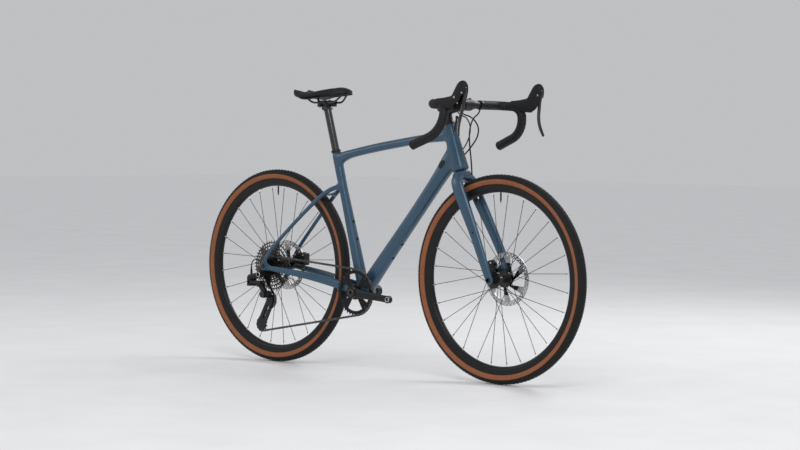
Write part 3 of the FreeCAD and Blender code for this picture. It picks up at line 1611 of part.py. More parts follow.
def build():
    for name, center, flanges, hub, rotor_y in (
        ("front", front_axle, front_flanges, make_front_hub(), front_rotor_y),
        ("rear", rear_axle, rear_flanges, make_rear_hub(), rear_rotor_y),
    ):
        rim = make_rim(center)
        save(name + "_tyre", make_tyre(center))
        save(name + "_rim", Part.makeCompound([rim, make_valve(center).cut(rim)]))
        save(name + "_spokes", make_spokes(center, flanges, rim))
        save(name + "_hub", hub)
        save(name + "_rotor", make_rotor(center, rotor_y))

    dropouts = make_dropouts()
    down_tube = make_down_tube()
    shell_and_tubes = [shell_solid, seat_tube_solid, limb(down_tube_stations, 2.5)]
    chainstays = make_stays(chainstay_stations, 2.8, dropouts, shell_and_tubes)
    save("head_tube", make_head_tube())
    save("seat_tube", make_seat_tube())
    save("down_tube", down_tube)
    save("top_tube", make_top_tube(limb(down_tube_stations, 2.5)))
    save("bottom_bracket_shell", make_shell())
    save("frame_bearings", Part.makeCompound(make_cups() + make_headset_bearings()))
    save("dropouts", dropouts)
    save("chainstays", Part.makeCompound(chainstays))
    save("seatstays", make_seatstays(dropouts, chainstays))
    save("seat_collar", make_collar())
    ports = make_port_covers()
    save("port_covers", ports)
    half = dropout_inner + dropout_thickness + 2
    save("rear_axle", bar_y(rear_axle, -half, half, axle_radius))
    half = front_hub_width / 2 + 17
    save("front_axle", bar_y(front_axle, -half, half, axle_radius))

    fork = make_fork()
    save("fork", fork)
    save("stem", make_stem())
    save("stem_faceplate", make_faceplate())
    save("headset_spacers", make_spacers())
    save("handlebar", make_handlebar())
    tape = make_tape()
    save("bar_tape", tape)
    hood = make_hood()
    save("lever_hoods", Part.makeCompound([hood, mirrored(hood)]))
    save("brake_lever_left", make_lever())
    save("brake_lever_right", make_right_lever())
    save("shift_paddle", make_paddle())

    caliper, block = make_front_caliper()
    save("front_caliper", caliper)
    save("front_pad_left", make_pad(front_axle, front_rotor_y, block, 1))
    save("front_pad_right", make_pad(front_axle, front_rotor_y, block, -1))
    caliper, block = make_rear_caliper()
    save("rear_caliper", caliper)
    save("rear_pad_left", make_pad(rear_axle, rear_rotor_y, block, 1))
    save("rear_pad_right", make_pad(rear_axle, rear_rotor_y, block, -1))

    save("chain", make_chain())
    save("cassette", make_cassette())
    save("crank_arm_right", make_crank_right())
    save("crank_arm_left", make_crank_left())
    save("chainring", make_chainring())
    save("derailleur_hanger", make_hanger(dropouts))
    save("derailleur_knuckle", make_knuckle())
    save("derailleur_outer_link", make_link(outer_link_y))
    save("derailleur_inner_link", make_link(inner_link_y))
    save("derailleur_cage_pivot", make_cage_pivot())
    save("derailleur_cage", make_cage())
    save("guide_wheel", make_jockey(guide_center, guide_phase))
    save("tension_wheel", make_jockey(tension_center, tension_phase))

    save("seatpost", make_seatpost())
    cover = make_saddle_cover()
    saddle_shell = make_saddle_shell(cover)
    save("saddle_cover", cover)
    save("saddle_shell", saddle_shell)
    save("saddle_rails", make_rails(cover, saddle_shell))
    save("saddle_clamp", make_clamp())

    filled_tube = limb(down_tube_stations, 2.5)
    front_hose = hose("front_brake_hose", front_hose_points, hose_radius)
    save("front_brake_hose", largest(front_hose.cut(tape).cut(fork)))
    rear_hose = hose("rear_brake_hose", rear_hose_points, hose_radius)
    save("rear_brake_hose", largest(rear_hose.cut(tape).cut(filled_tube).cut(ports)))
    housing = hose("shift_housing", shift_housing_points, housing_radius)
    rear_housing = hose("rear end of the shift housing", derailleur_housing_points, housing_radius)
    housing = largest(housing.cut(tape).cut(filled_tube).cut(ports))
    save("shift_housing", Part.makeCompound([housing, rear_housing]))


build()
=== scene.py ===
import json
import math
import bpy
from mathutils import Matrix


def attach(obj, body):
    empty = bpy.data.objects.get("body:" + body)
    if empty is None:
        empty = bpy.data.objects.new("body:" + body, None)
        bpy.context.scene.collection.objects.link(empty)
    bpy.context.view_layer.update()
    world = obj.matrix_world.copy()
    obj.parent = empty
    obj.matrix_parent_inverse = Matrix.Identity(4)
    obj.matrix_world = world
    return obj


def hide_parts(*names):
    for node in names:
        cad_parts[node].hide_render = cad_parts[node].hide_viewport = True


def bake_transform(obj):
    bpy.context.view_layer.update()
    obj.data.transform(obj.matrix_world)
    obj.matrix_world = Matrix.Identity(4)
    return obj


bl_info = {
    "name": "Gravel Bike",
    "version": (1, 0, 0),
    "blender": (4, 5, 0),
    "location": "View3D > Sidebar > Bike",
    "description": "Dresses the packed gravel bike with skins, tyres, tape, saddle, fasteners and finishes",
    "category": "Object",
}

import bmesh
import bpy
from mathutils import Matrix, Vector

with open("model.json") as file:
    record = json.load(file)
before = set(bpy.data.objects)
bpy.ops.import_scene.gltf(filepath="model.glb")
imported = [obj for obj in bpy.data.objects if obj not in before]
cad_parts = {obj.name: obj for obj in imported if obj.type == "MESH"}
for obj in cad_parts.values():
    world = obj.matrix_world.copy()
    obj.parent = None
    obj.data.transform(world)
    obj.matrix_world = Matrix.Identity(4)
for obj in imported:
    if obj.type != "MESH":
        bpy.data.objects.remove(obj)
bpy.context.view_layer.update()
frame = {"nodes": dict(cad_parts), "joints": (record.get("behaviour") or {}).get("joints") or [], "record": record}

MM = 0.001
ACROSS = Vector((0.0, 1.0, 0.0))
UP = Vector((0.0, 0.0, 1.0))
AHEAD = Vector((1.0, 0.0, 0.0))
JOINT = {joint["name"]: joint for joint in frame["joints"]}


def pivot(name):
    """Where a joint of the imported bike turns, in metres."""
    return Vector(JOINT[name]["pos_m"])


def mm(x, y, z):
    """Point given in millimetres."""
    return Vector((x, y, z)) * MM


def leftward(y):
    """Step to the left in millimetres."""
    return ACROSS * (y * MM)


FRONT = pivot("front_wheel_spin")
REAR = pivot("rear_wheel_spin")
BRACKET = pivot("crank_spin")
CROWN = pivot("steering")
STEER = Vector(JOINT["steering"]["axis"])
STEER_OUT = Vector((STEER.z, 0.0, -STEER.x))
SEAT = Vector(JOINT["seatpost_height"]["axis"])
SEAT_OUT = Vector((SEAT.z, 0.0, -SEAT.x))
LEVER = pivot("brake_lever_left_pull")
LEVER_AHEAD = 160
LEVER_SIDE = 203
LEVER_UP = 34
BAR = LEVER - mm(LEVER_AHEAD, LEVER_SIDE, LEVER_UP)
SADDLE = pivot("saddle_tilt")
RAILS = SADDLE + mm(0, 0, 16.5)
PORT = mm(278, 0, 731)
BARREL = REAR + mm(-59.2, -76.5, -14)
HEAD_LENGTH = 165.8
SEAT_LENGTH = 508.0
FORK_LENGTH = 395.0
FORK_RAKE = 47.0


def steer_point(up, out=0, y=0):
    """Point in the steering frame, in millimetres up, out to the front and to the left."""
    return CROWN + STEER * (up * MM) + STEER_OUT * (out * MM) + leftward(y)


def seat_point(up, out=0, y=0):
    """Point in the seat tube's frame, in millimetres up, out to the front and to the left."""
    return BRACKET + SEAT * (up * MM) + SEAT_OUT * (out * MM) + leftward(y)


STEM_LEVEL = HEAD_LENGTH + 49.2
STEM_TOP = steer_point(STEM_LEVEL + 21)
STEM_WAY = (BAR - steer_point(STEM_LEVEL)).normalized()
STEM_UP = Vector((-STEM_WAY.z, 0.0, STEM_WAY.x))


def along(start, end, share, lift=0.0, y=0.0):
    """Point at a share of a line, lifted above it and moved to the left by millimetres."""
    return start + (end - start) * share + mm(0, y, lift)


# Sizes and colours that a user may change


COLOUR = {"subtype": "COLOR", "size": 3, "min": 0.0, "max": 1.0}


class BikePaint(bpy.types.PropertyGroup):
    blue: bpy.props.FloatVectorProperty(
        name="Frame blue", description="Satin paint of the frame and the fork",
        default=(0.029, 0.077, 0.128), **COLOUR)
    tan: bpy.props.FloatVectorProperty(
        name="Tan wall", description="Side walls of the tyres",
        default=(0.264, 0.094, 0.040), **COLOUR)
    black: bpy.props.FloatVectorProperty(
        name="Parts black", description="Anodised parts",
        default=(0.014, 0.014, 0.015), **COLOUR)
    floor: bpy.props.FloatVectorProperty(
        name="Floor", description="Pale studio floor",
        default=(0.80, 0.80, 0.81), **COLOUR)


class BikeSizes(bpy.types.PropertyGroup):
    skin_voxel: bpy.props.FloatProperty(
        name="Skin grain", description="Voxel size of the frame and fork skins",
        default=0.0026, unit="LENGTH", min=0.001, max=0.01)
    tape_pitch: bpy.props.FloatProperty(
        name="Tape pitch", description="Length of bar that one turn of tape covers",
        default=0.013, unit="LENGTH", min=0.005, max=0.03)
    tread_pitches: bpy.props.IntProperty(
        name="Tread pitches", description="Repeats of the tread round a tyre",
        default=132, min=24, max=300)
    knob_height: bpy.props.FloatProperty(
        name="Knob height", description="Height of the tread's knobs",
        default=0.0018, unit="LENGTH", min=0.0002, max=0.005)


def paint():
    """The colours."""
    return bpy.context.scene.bike_paint


def sizes():
    """The sizes."""
    return bpy.context.scene.bike_sizes


# Mesh helpers

SHARP_DEGREES = 40


def edges_of(verts):
    """The edges that meet some vertices, each once."""
    return list({edge for vert in verts for edge in vert.link_edges})


def ring_edges(bm, center, across, upward, half_a, half_b, power=2.0, count=28):
    """Closed ring of edges, between an ellipse and a rounded rectangle."""
    made = bmesh.ops.create_circle(bm, cap_ends=False, segments=count, radius=1.0)
    for vert in made["verts"]:
        c = vert.co.x
        s = vert.co.y
        a = half_a * math.copysign(abs(c) ** (2.0 / power), c)
        b = half_b * math.copysign(abs(s) ** (2.0 / power), s)
        vert.co = center + across * a + upward * b
    return edges_of(made["verts"])


def bridge(bm, rings, cap=True):
    """Joins rings in order, and closes both ends."""
    for first, second in zip(rings, rings[1:]):
        bmesh.ops.bridge_loops(bm, edges=first + second)
    if cap:
        bmesh.ops.holes_fill(bm, edges=rings[0], sides=0)
        bmesh.ops.holes_fill(bm, edges=rings[-1], sides=0)


def eased(stations, steps):
    """Stations with smooth ones between them. All their numbers follow one curve."""
    def flat(station):
        return list(station[0]) + list(station[1:])
    rows = [flat(station) for station in stations]
    rows = [rows[0]] + rows + [rows[-1]]
    fine = []
    for i in range(1, len(rows) - 2):
        for step in range(steps):
            t = step / steps
            row = []
            for a, b, c, d in zip(rows[i - 1], rows[i], rows[i + 1], rows[i + 2]):
                row.append(0.5 * (2 * b + (c - a) * t + (2 * a - 5 * b + 4 * c - d) * t * t
                                  + (3 * b - a - 3 * c + d) * t ** 3))
            fine.append(row)
    fine.append(rows[-1])
    return [(Vector(row[:3]),) + tuple(row[3:]) for row in fine]


def limb(bm, stations, power=2.3, count=28, steps=6, grow=0.0):
    """Closed tube through stations: a point, its half width across and its half height in millimetres."""
    fine = eased(stations, steps) if steps > 1 else stations
    rings = []
    last = len(fine) - 1
    for i, (point, half_width, half_height) in enumerate(fine):
        way = (fine[min(i + 1, last)][0] - fine[max(i - 1, 0)][0]).normalized()
        across = (ACROSS - way * way.dot(ACROSS)).normalized()
        rings.append(ring_edges(bm, point, across, way.cross(across), (half_width + grow) * MM,
                                (half_height + grow) * MM, power, count))
    bridge(bm, rings)


def side_ways(axis):
    """Two directions square to an axis."""
    other = ACROSS if abs(axis.y) < 0.9 else AHEAD
    first = (other - axis * axis.dot(other)).normalized()
    return first, axis.cross(first)


def turned(bm, base, axis, steps, cap=True):
    """Turned form on an axis. A step is its height and radius in millimetres, and its count of sides."""
    axis = axis.normalized()
    first, second = side_ways(axis)
    rings = []
    for step in steps:
        height, radius = step[0], step[1]
        count = step[2] if len(step) > 2 else 28
        rings.append(ring_edges(bm, base + axis * (height * MM), first, second, radius * MM, radius * MM,
                                2.0, count))
    bridge(bm, rings, cap)


def socket_bolt(bm, base, axis, radius, height):
    """Round bolt head with a chamfered rim and a hexagon socket."""
    turned(bm, base, axis, [
        (0.0, radius), (height * 0.75, radius), (height * 0.95, radius * 0.9), (height, radius * 0.78),
        (height, radius * 0.52, 6), (height * 0.35, radius * 0.48, 6),
    ])


def block(bm, low, high, turn=None, center=None, rounding=1.0, segments=2):
    """Box between two corners in millimetres from a center, turned about it, with rounded edges."""
    made = bmesh.ops.create_cube(bm, size=1.0)
    size = Vector(high) - Vector(low)
    middle = (Vector(high) + Vector(low)) / 2
    bmesh.ops.scale(bm, vec=size * MM, verts=made["verts"])
    bmesh.ops.translate(bm, vec=middle * MM, verts=made["verts"])
    matrix = Matrix.Translation(center or Vector()) @ (turn or Matrix.Identity(4))
    bmesh.ops.transform(bm, matrix=matrix, verts=made["verts"])
    bmesh.ops.bevel(bm, geom=edges_of(made["verts"]), offset=rounding * MM, offset_type="OFFSET",
                    affect="EDGES", segments=segments, profile=0.5, material=-1)


def linked(name, data):
    """New object in the scene."""
    thing = bpy.data.objects.new(name, data)
    bpy.context.scene.collection.objects.link(thing)
    return thing


def placed(bm, name):
    """New object that holds a closed bmesh, with its normals outward."""
    bmesh.ops.recalc_face_normals(bm, faces=bm.faces)
    mesh = bpy.data.meshes.new(name)
    bm.to_mesh(mesh)
    bm.free()
    return linked(name, mesh)


def finished(bm, name, body, finish, replaces=(), smooth=True):
    """Makes a bmesh into a piece that stands for its nodes and, if a body is named, rides on it."""
    piece = placed(bm, name)
    piece.data.materials.append(FINISH[finish])
    if smooth:
        piece.data.shade_smooth()
        piece.data.set_sharp_from_angle(angle=math.radians(SHARP_DEGREES))
    if body:
        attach(piece, body)
    if replaces:
        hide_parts(*replaces)
    return piece


def applied(piece):
    """Bakes a piece's modifiers into its mesh."""
    graph = bpy.context.evaluated_depsgraph_get()
    mesh = bpy.data.meshes.new_from_object(piece.evaluated_get(graph))
    piece.modifiers.clear()
    piece.data = mesh


def remeshed(piece, voxel):
    """Makes an object one skin of even quads."""
    remesh = piece.modifiers.new("weld", "REMESH")
    remesh.mode = "VOXEL"
    remesh.voxel_size = voxel
    applied(piece)


def taken(helper):
    """The mesh of a helper object as a bmesh. The helper goes."""
    bm = bmesh.new()
    bm.from_mesh(helper.data)
    bpy.data.objects.remove(helper)
    return bm


def welded(bm, voxel, cutters=()):
    """One closed skin round overlapping solids, less its cutters, as a bmesh of even quads."""
    helper = placed(bm, "helper")
    remeshed(helper, voxel)
    for cutter in cutters:
        tool = placed(cutter, "cutter")
        cut = helper.modifiers.new("cut", "BOOLEAN")
        cut.operation = "DIFFERENCE"
        cut.object = tool
        applied(helper)
        bpy.data.objects.remove(tool)
    if cutters:
        remeshed(helper, voxel)
    return taken(helper)


def evened(bm, verts, rounds):
    """Moves vertices halfway to the middle of their neighbours, a number of times."""
    for i in range(rounds):
        bmesh.ops.smooth_vert(bm, verts=verts, factor=0.5,
                              use_axis_x=True, use_axis_y=True, use_axis_z=True)


def relax(bm, rounds, spots=()):
    """Evens a welded skin, with more rounds near the spots: a point, a reach and its rounds."""
    evened(bm, bm.verts, rounds)
    for point, reach, count in spots:
        evened(bm, [vert for vert in bm.verts if (vert.co - point).length < reach * MM], count)


# Finishes


def add(tree, kind, inputs=None, **settings):
    """New node with its inputs linked or set."""
    node = tree.nodes.new(kind)
    for key, value in settings.items():
        setattr(node, key, value)
    for key, value in (inputs or {}).items():
        if isinstance(value, bpy.types.NodeSocket):
            tree.links.new(value, node.inputs[key])
        else:
            node.inputs[key].default_value = value
    return node


def ramp(tree, factor, stops):
    """Colour ramp with stops of a place and a colour."""
    node = add(tree, "ShaderNodeValToRGB", {"Fac": factor})
    while len(node.color_ramp.elements) < len(stops):
        node.color_ramp.elements.new(0.5)
    for element, (place, colour) in zip(node.color_ramp.elements, stops):
        element.position = place
        element.color = (colour[0], colour[1], colour[2], 1.0)
    return node.outputs["Color"]


def span(tree, value, low, high, to_low, to_high):
    """Value mapped from one range to another."""
    node = add(tree, "ShaderNodeMapRange", {
        "Value": value, "From Min": low, "From Max": high, "To Min": to_low, "To Max": to_high})
    return node.outputs["Result"]


def maths(tree, operation, first, second=0.0):
    """Result of a sum or a function of one or two values."""
    return add(tree, "ShaderNodeMath", {0: first, 1: second}, operation=operation).outputs[0]


def weighed(tree, first, share, second, other):
    """Sum of two values, each times its share."""
    return maths(tree, "ADD", maths(tree, "MULTIPLY", first, share),
                 maths(tree, "MULTIPLY", second, other))


def mixed(tree, factor, first, second):
    """Colour between two colours, by a factor."""
    node = add(tree, "ShaderNodeMixRGB", {"Fac": factor, "Color1": first, "Color2": second})
    return node.outputs["Color"]


def shade(colour, factor):
    """Lighter or darker colour."""
    return tuple(min(1.0, channel * factor) for channel in colour)


def blank(name):
    """New material with its tree, shader and object coordinates."""
    material = bpy.data.materials.new(name)
    material.use_nodes = True
    tree = material.node_tree
    shader = tree.nodes["Principled BSDF"]
    spot = add(tree, "ShaderNodeTexCoord").outputs["Object"]
    return material, tree, shader, spot


def noise(tree, spot, scale, detail=4.0, roughness=0.6):
    """Soft noise between 0 and 1."""
    return add(tree, "ShaderNodeTexNoise", {
        "Vector": spot, "Scale": scale, "Detail": detail, "Roughness": roughness}).outputs["Fac"]


def relief(tree, shader, height, distance, strength=0.6):
    """Bump from a height, in metres."""
    bump = add(tree, "ShaderNodeBump", {"Height": height, "Distance": distance, "Strength": strength})
    tree.links.new(bump.outputs["Normal"], shader.inputs["Normal"])


def link(tree, socket, shader, name):
    """Feeds an input of the shader."""
    tree.links.new(socket, shader.inputs[name])


def from_axle(tree, spot, axle):
    """How far a point is ahead of an axle, above it, and from it."""
    moved = add(tree, "ShaderNodeMapping", {"Vector": spot, "Location": (-axle.x, 0.0, -axle.z)})
    axes = add(tree, "ShaderNodeSeparateXYZ", {"Vector": moved.outputs["Vector"]}).outputs
    ahead, above = axes["X"], axes["Z"]
    square = maths(tree, "ADD", maths(tree, "MULTIPLY", ahead, ahead),
                   maths(tree, "MULTIPLY", above, above))
    return ahead, above, maths(tree, "SQRT", square)


def surface(name, colour, rough, metal, grain, depth, mottle, spread=0.08, coat=0.0, specular=0.5):
    """Plain finish with fine grain, soft mottling and uneven gloss, in the parts' black if no colour."""
    colour = colour or tuple(paint().black)
    material, tree, shader, spot = blank(name)
    broad = noise(tree, spot, 55.0, 5.0)
    tone = ramp(tree, broad, [(0.3, shade(colour, 1.0 - mottle)), (0.7, shade(colour, 1.0 + mottle))])
    link(tree, tone, shader, "Base Color")
    link(tree, span(tree, broad, 0.3, 0.7, rough - spread, rough + spread), shader, "Roughness")
    shader.inputs["Metallic"].default_value = metal
    shader.inputs["Specular IOR Level"].default_value = specular
    shader.inputs["Coat Weight"].default_value = coat
    shader.inputs["Coat Roughness"].default_value = 0.12
    relief(tree, shader, noise(tree, spot, grain), depth * MM)
    return material


def paint_finish(name):
    """Satin metallic paint: fine flakes under a smooth coat."""
    colour = paint().blue
    material, tree, shader, spot = blank(name)
    cells = add(tree, "ShaderNodeTexVoronoi", {"Vector": spot, "Scale": 2600.0})
    flake = add(tree, "ShaderNodeSeparateColor", {"Color": cells.outputs["Color"]}).outputs["Red"]
    drift = weighed(tree, flake, 0.55, noise(tree, spot, 9.0, 3.0), 0.45)
    tone = ramp(tree, drift, [(0.15, shade(colour, 0.82)), (0.55, colour), (0.9, shade(colour, 1.28))])
    link(tree, tone, shader, "Base Color")
    link(tree, span(tree, flake, 0.0, 1.0, 0.34, 0.46), shader, "Roughness")
    shader.inputs["Metallic"].default_value = 0.35
    shader.inputs["Coat Weight"].default_value = 0.35
    shader.inputs["Coat Roughness"].default_value = 0.22
    relief(tree, shader, noise(tree, spot, 700.0, 2.0), 0.03 * MM, 0.3)
    return material


TAN_FROM = 0.3175
TAN_TO = 0.3335
TAN_EDGE = 0.0004


def tyre_finish(name, axle):
    """Black tread and shoulders, tan side walls with woven threads, by the distance from the axle."""
    tan = paint().tan
    material, tree, shader, spot = blank(name)
    ahead, above, reach = from_axle(tree, spot, axle)
    wobble = maths(tree, "MULTIPLY", maths(tree, "SUBTRACT", noise(tree, spot, 160.0, 3.0), 0.5), 0.0012)
    edge = maths(tree, "ADD", reach, wobble)
    wall = maths(tree, "MULTIPLY", span(tree, edge, TAN_FROM, TAN_FROM + TAN_EDGE, 0.0, 1.0),
                 span(tree, edge, TAN_TO, TAN_TO + TAN_EDGE, 1.0, 0.0))
    turn = maths(tree, "MULTIPLY", maths(tree, "ARCTAN2", above, ahead), 620.0)
    lean = maths(tree, "MULTIPLY", reach, 2600.0)
    threads = [maths(tree, "SINE", maths(tree, way, turn, lean)) for way in ("ADD", "SUBTRACT")]
    weave = span(tree, maths(tree, "ADD", *threads), -2.0, 2.0, 0.0, 1.0)
    dirt = noise(tree, spot, 70.0, 5.0)
    worn = weighed(tree, weave, 0.35, dirt, 0.65)
    tan_tone = ramp(tree, worn, [(0.2, shade(tan, 0.66)), (0.5, tan), (0.85, shade(tan, 1.3))])
    black_tone = ramp(tree, dirt, [(0.3, (0.008, 0.008, 0.009)), (0.75, (0.017, 0.016, 0.016))])
    link(tree, mixed(tree, wall, black_tone, tan_tone), shader, "Base Color")
    link(tree, span(tree, dirt, 0.3, 0.7, 0.62, 0.82), shader, "Roughness")
    shader.inputs["Specular IOR Level"].default_value = 0.25
    cloth = maths(tree, "MULTIPLY", weave, wall)
    relief(tree, shader, weighed(tree, cloth, 0.7, noise(tree, spot, 900.0), 0.6), 0.2 * MM)
    return material


NIPPLE_FROM = 0.2818


def spoke_finish(name, axle):
    """Black spokes with bright nipples, by the distance from the axle."""
    material, tree, shader, spot = blank(name)
    reach = from_axle(tree, spot, axle)[2]
    bright = span(tree, reach, NIPPLE_FROM, NIPPLE_FROM + 0.0002, 0.0, 1.0)
    fine = noise(tree, spot, 700.0)
    dark = ramp(tree, fine, [(0.3, (0.010, 0.010, 0.011)), (0.7, (0.022, 0.022, 0.024))])
    silver = ramp(tree, fine, [(0.3, (0.78, 0.78, 0.79)), (0.7, (0.92, 0.92, 0.93))])
    link(tree, mixed(tree, bright, dark, silver), shader, "Base Color")
    link(tree, span(tree, fine, 0.3, 0.7, 0.28, 0.42), shader, "Roughness")
    link(tree, span(tree, bright, 0.0, 1.0, 0.4, 1.0), shader, "Metallic")
    relief(tree, shader, fine, 0.03 * MM, 0.4)
    return material


def ground_steel(name, axle, colour, rough, core=0.0):
    """Steel with fine rings round an axle, tarnish and, within the core's radius, a black carrier."""
    material, tree, shader, spot = blank(name)
    reach = from_axle(tree, spot, axle)[2]
    rings = add(tree, "ShaderNodeTexNoise", {"Scale": 5200.0, "Detail": 3.0}, noise_dimensions="1D")
    tree.links.new(reach, rings.inputs["W"])
    ring = rings.outputs["Fac"]
    drift = weighed(tree, ring, 0.6, noise(tree, spot, 90.0, 5.0), 0.4)
    tone = ramp(tree, drift, [(0.3, shade(colour, 0.7)), (0.7, shade(colour, 1.15))])
    inside = span(tree, reach, core, core + 0.001, 1.0, 0.0)
    link(tree, mixed(tree, inside, tone, (0.020, 0.020, 0.021, 1.0)), shader, "Base Color")
    link(tree, span(tree, drift, 0.3, 0.7, rough - 0.08, rough + 0.12), shader, "Roughness")
    shader.inputs["Metallic"].default_value = 1.0
    relief(tree, shader, ring, 0.04 * MM, 0.5)
    return material


def grip_finish(name, colour, rough, cell, depth):
    """Soft rubber with a fine pebbled grain."""
    material, tree, shader, spot = blank(name)
    pebble = add(tree, "ShaderNodeTexVoronoi", {"Vector": spot, "Scale": cell}).outputs["Distance"]
    broad = noise(tree, spot, 45.0, 5.0)
    tone = ramp(tree, broad, [(0.3, shade(colour, 0.75)), (0.7, shade(colour, 1.3))])
    link(tree, tone, shader, "Base Color")
    link(tree, span(tree, broad, 0.3, 0.7, rough - 0.08, rough + 0.08), shader, "Roughness")
    shader.inputs["Specular IOR Level"].default_value = 0.25
    relief(tree, shader, pebble, depth * MM, 0.7)
    return material


FINISH = {}

# Plain finishes: name, colour, roughness, metal, grain and its depth in millimetres, mottling, spread of
# the gloss, coat and specular level.
SURFACES = {
    "chain": ("chain_steel", (0.10, 0.097, 0.094), 0.32, 1.0, 900.0, 0.05, 0.4),
    "anodised": ("anodised_black", None, 0.42, 0.55, 2600.0, 0.03, 0.2),
    "satin": ("satin_black", None, 0.3, 0.3, 2200.0, 0.02, 0.15, 0.05, 0.3),
    "lever": ("lever_black", (0.045, 0.045, 0.048), 0.2, 0.9, 1500.0, 0.01, 0.15, 0.04, 0.4),
    "post": ("seatpost_black", (0.010, 0.010, 0.011), 0.14, 0.0, 1500.0, 0.01, 0.12, 0.04, 0.7),
    "matte": ("matte_black", (0.009, 0.009, 0.010), 0.4, 0.0, 2600.0, 0.03, 0.15, 0.06, 0.0, 0.35),
    "rim": ("rim_black", (0.010, 0.010, 0.011), 0.42, 0.2, 2400.0, 0.02, 0.15, 0.06, 0.0, 0.3),
    "plastic": ("moulded_black", (0.010, 0.010, 0.011), 0.5, 0.0, 3200.0, 0.06, 0.15, 0.08, 0.0, 0.3),
    "hose": ("hose_black", (0.007, 0.007, 0.008), 0.4, 0.0, 1500.0, 0.03, 0.15, 0.06, 0.0, 0.3),
    "steel": ("bolt_steel", (0.55, 0.55, 0.56), 0.28, 1.0, 1200.0, 0.03, 0.2),
    "dark_steel": ("dark_steel", (0.07, 0.07, 0.074), 0.34, 1.0, 1200.0, 0.03, 0.25),
    "pad": ("brake_pad", (0.09, 0.075, 0.06), 0.7, 0.3, 900.0, 0.1, 0.3),
}
# Rubber finishes: name, colour, roughness, count of pebbles in a metre and their depth in millimetres.
GRIPS = {
    "hood": ("hood_rubber", (0.009, 0.009, 0.010), 0.6, 1300.0, 0.12),
    "tape": ("grip_tape", (0.011, 0.011, 0.012), 0.56, 700.0, 0.18),
    "saddle": ("saddle_cover", (0.009, 0.009, 0.010), 0.55, 900.0, 0.12),
}
ROTOR_COLOUR = (0.52, 0.52, 0.53)
CARRIER_RADIUS = 0.054


def make_finishes():
    """Fills the table of finishes."""
    FINISH["paint"] = paint_finish("blue_satin_paint")
    for end, axle in (("front", FRONT), ("rear", REAR)):
        FINISH[end + "_tyre"] = tyre_finish(end + "_tyre_rubber", axle)
        FINISH[end + "_spokes"] = spoke_finish(end + "_spoke_black", axle)
        FINISH[end + "_rotor"] = ground_steel(end + "_rotor_steel", axle, ROTOR_COLOUR, 0.26,
                                              CARRIER_RADIUS)
    FINISH["cassette"] = ground_steel("cassette_steel", REAR, (0.10, 0.095, 0.09), 0.3)
    FINISH["chainring"] = ground_steel("chainring_black", BRACKET, (0.03, 0.03, 0.032), 0.38)
    for finish, values in SURFACES.items():
        FINISH[finish] = surface(*values)
    for finish, values in GRIPS.items():
        FINISH[finish] = grip_finish(*values)


# The nodes that have each finish, and those with a finish of their own
NODES_OF = {
    "paint": "fork head_tube top_tube down_tube seat_tube bottom_bracket_shell dropouts chainstays "
             "seatstays",
    "anodised": "front_caliper rear_caliper crank_arm_right crank_arm_left derailleur_hanger "
                "derailleur_knuckle derailleur_inner_link derailleur_cage_pivot saddle_clamp",
    "matte": "derailleur_outer_link derailleur_cage seat_collar stem stem_faceplate headset_spacers "
             "handlebar",
    "satin": "front_hub rear_hub front_axle rear_axle frame_bearings",
    "rim": "front_rim rear_rim",
    "pad": "front_pad_left front_pad_right rear_pad_left rear_pad_right",
    "plastic": "guide_wheel tension_wheel port_covers saddle_shell",
    "lever": "brake_lever_left brake_lever_right shift_paddle",
    "hose": "front_brake_hose rear_brake_hose shift_housing",
    "post": "seatpost",
    "dark_steel": "saddle_rails",
    "hood": "lever_hoods",
    "tape": "bar_tape",
    "saddle": "saddle_cover",
}
OWN_FINISH = ("front_tyre rear_tyre front_spokes rear_spokes front_rotor rear_rotor cassette chain "
              "chainring")


class BIKE_OT_finishes(bpy.types.Operator):
    """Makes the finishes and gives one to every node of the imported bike"""

    bl_idname = "bike.finishes"
    bl_label = "Finishes"

    def execute(self, context):
        make_finishes()
        pairs = [(name, name) for name in OWN_FINISH.split()]
        for finish, names in NODES_OF.items():
            pairs += [(name, finish) for name in names.split()]
        for name, finish in pairs:
            materials = frame["nodes"][name].data.materials
            materials.clear()
            materials.append(FINISH[finish])
        return {"FINISHED"}


# Frame and fork

DOWN_END = steer_point(0.395 * HEAD_LENGTH, -3.6)
TOP_START = seat_point(SEAT_LENGTH - 20)
TOP_END = steer_point(0.76 * HEAD_LENGTH)
STAY_END = seat_point(0.76 * SEAT_LENGTH)
DOWN_WAY = (DOWN_END - BRACKET).normalized()
DOWN_UP = Vector((-DOWN_WAY.z, 0.0, DOWN_WAY.x))
BOSS_SHARE = 0.382
BOSS_STEP = 64 * MM / (DOWN_END - BRACKET).length
STAY_BRIDGE = along(REAR, STAY_END, 0.795, 28.2)
DROPOUT_Y = 75
TOP_BOW = 9.0
FORK_LEAN = Matrix.Rotation(math.radians(-19), 4, "Y")
ARCH_RADIUS = 359
ARCH_HALF = 27
AXLE_HOLE = 6.2
FORK_FINER = 0.85
SKIN_ROUNDS = 22

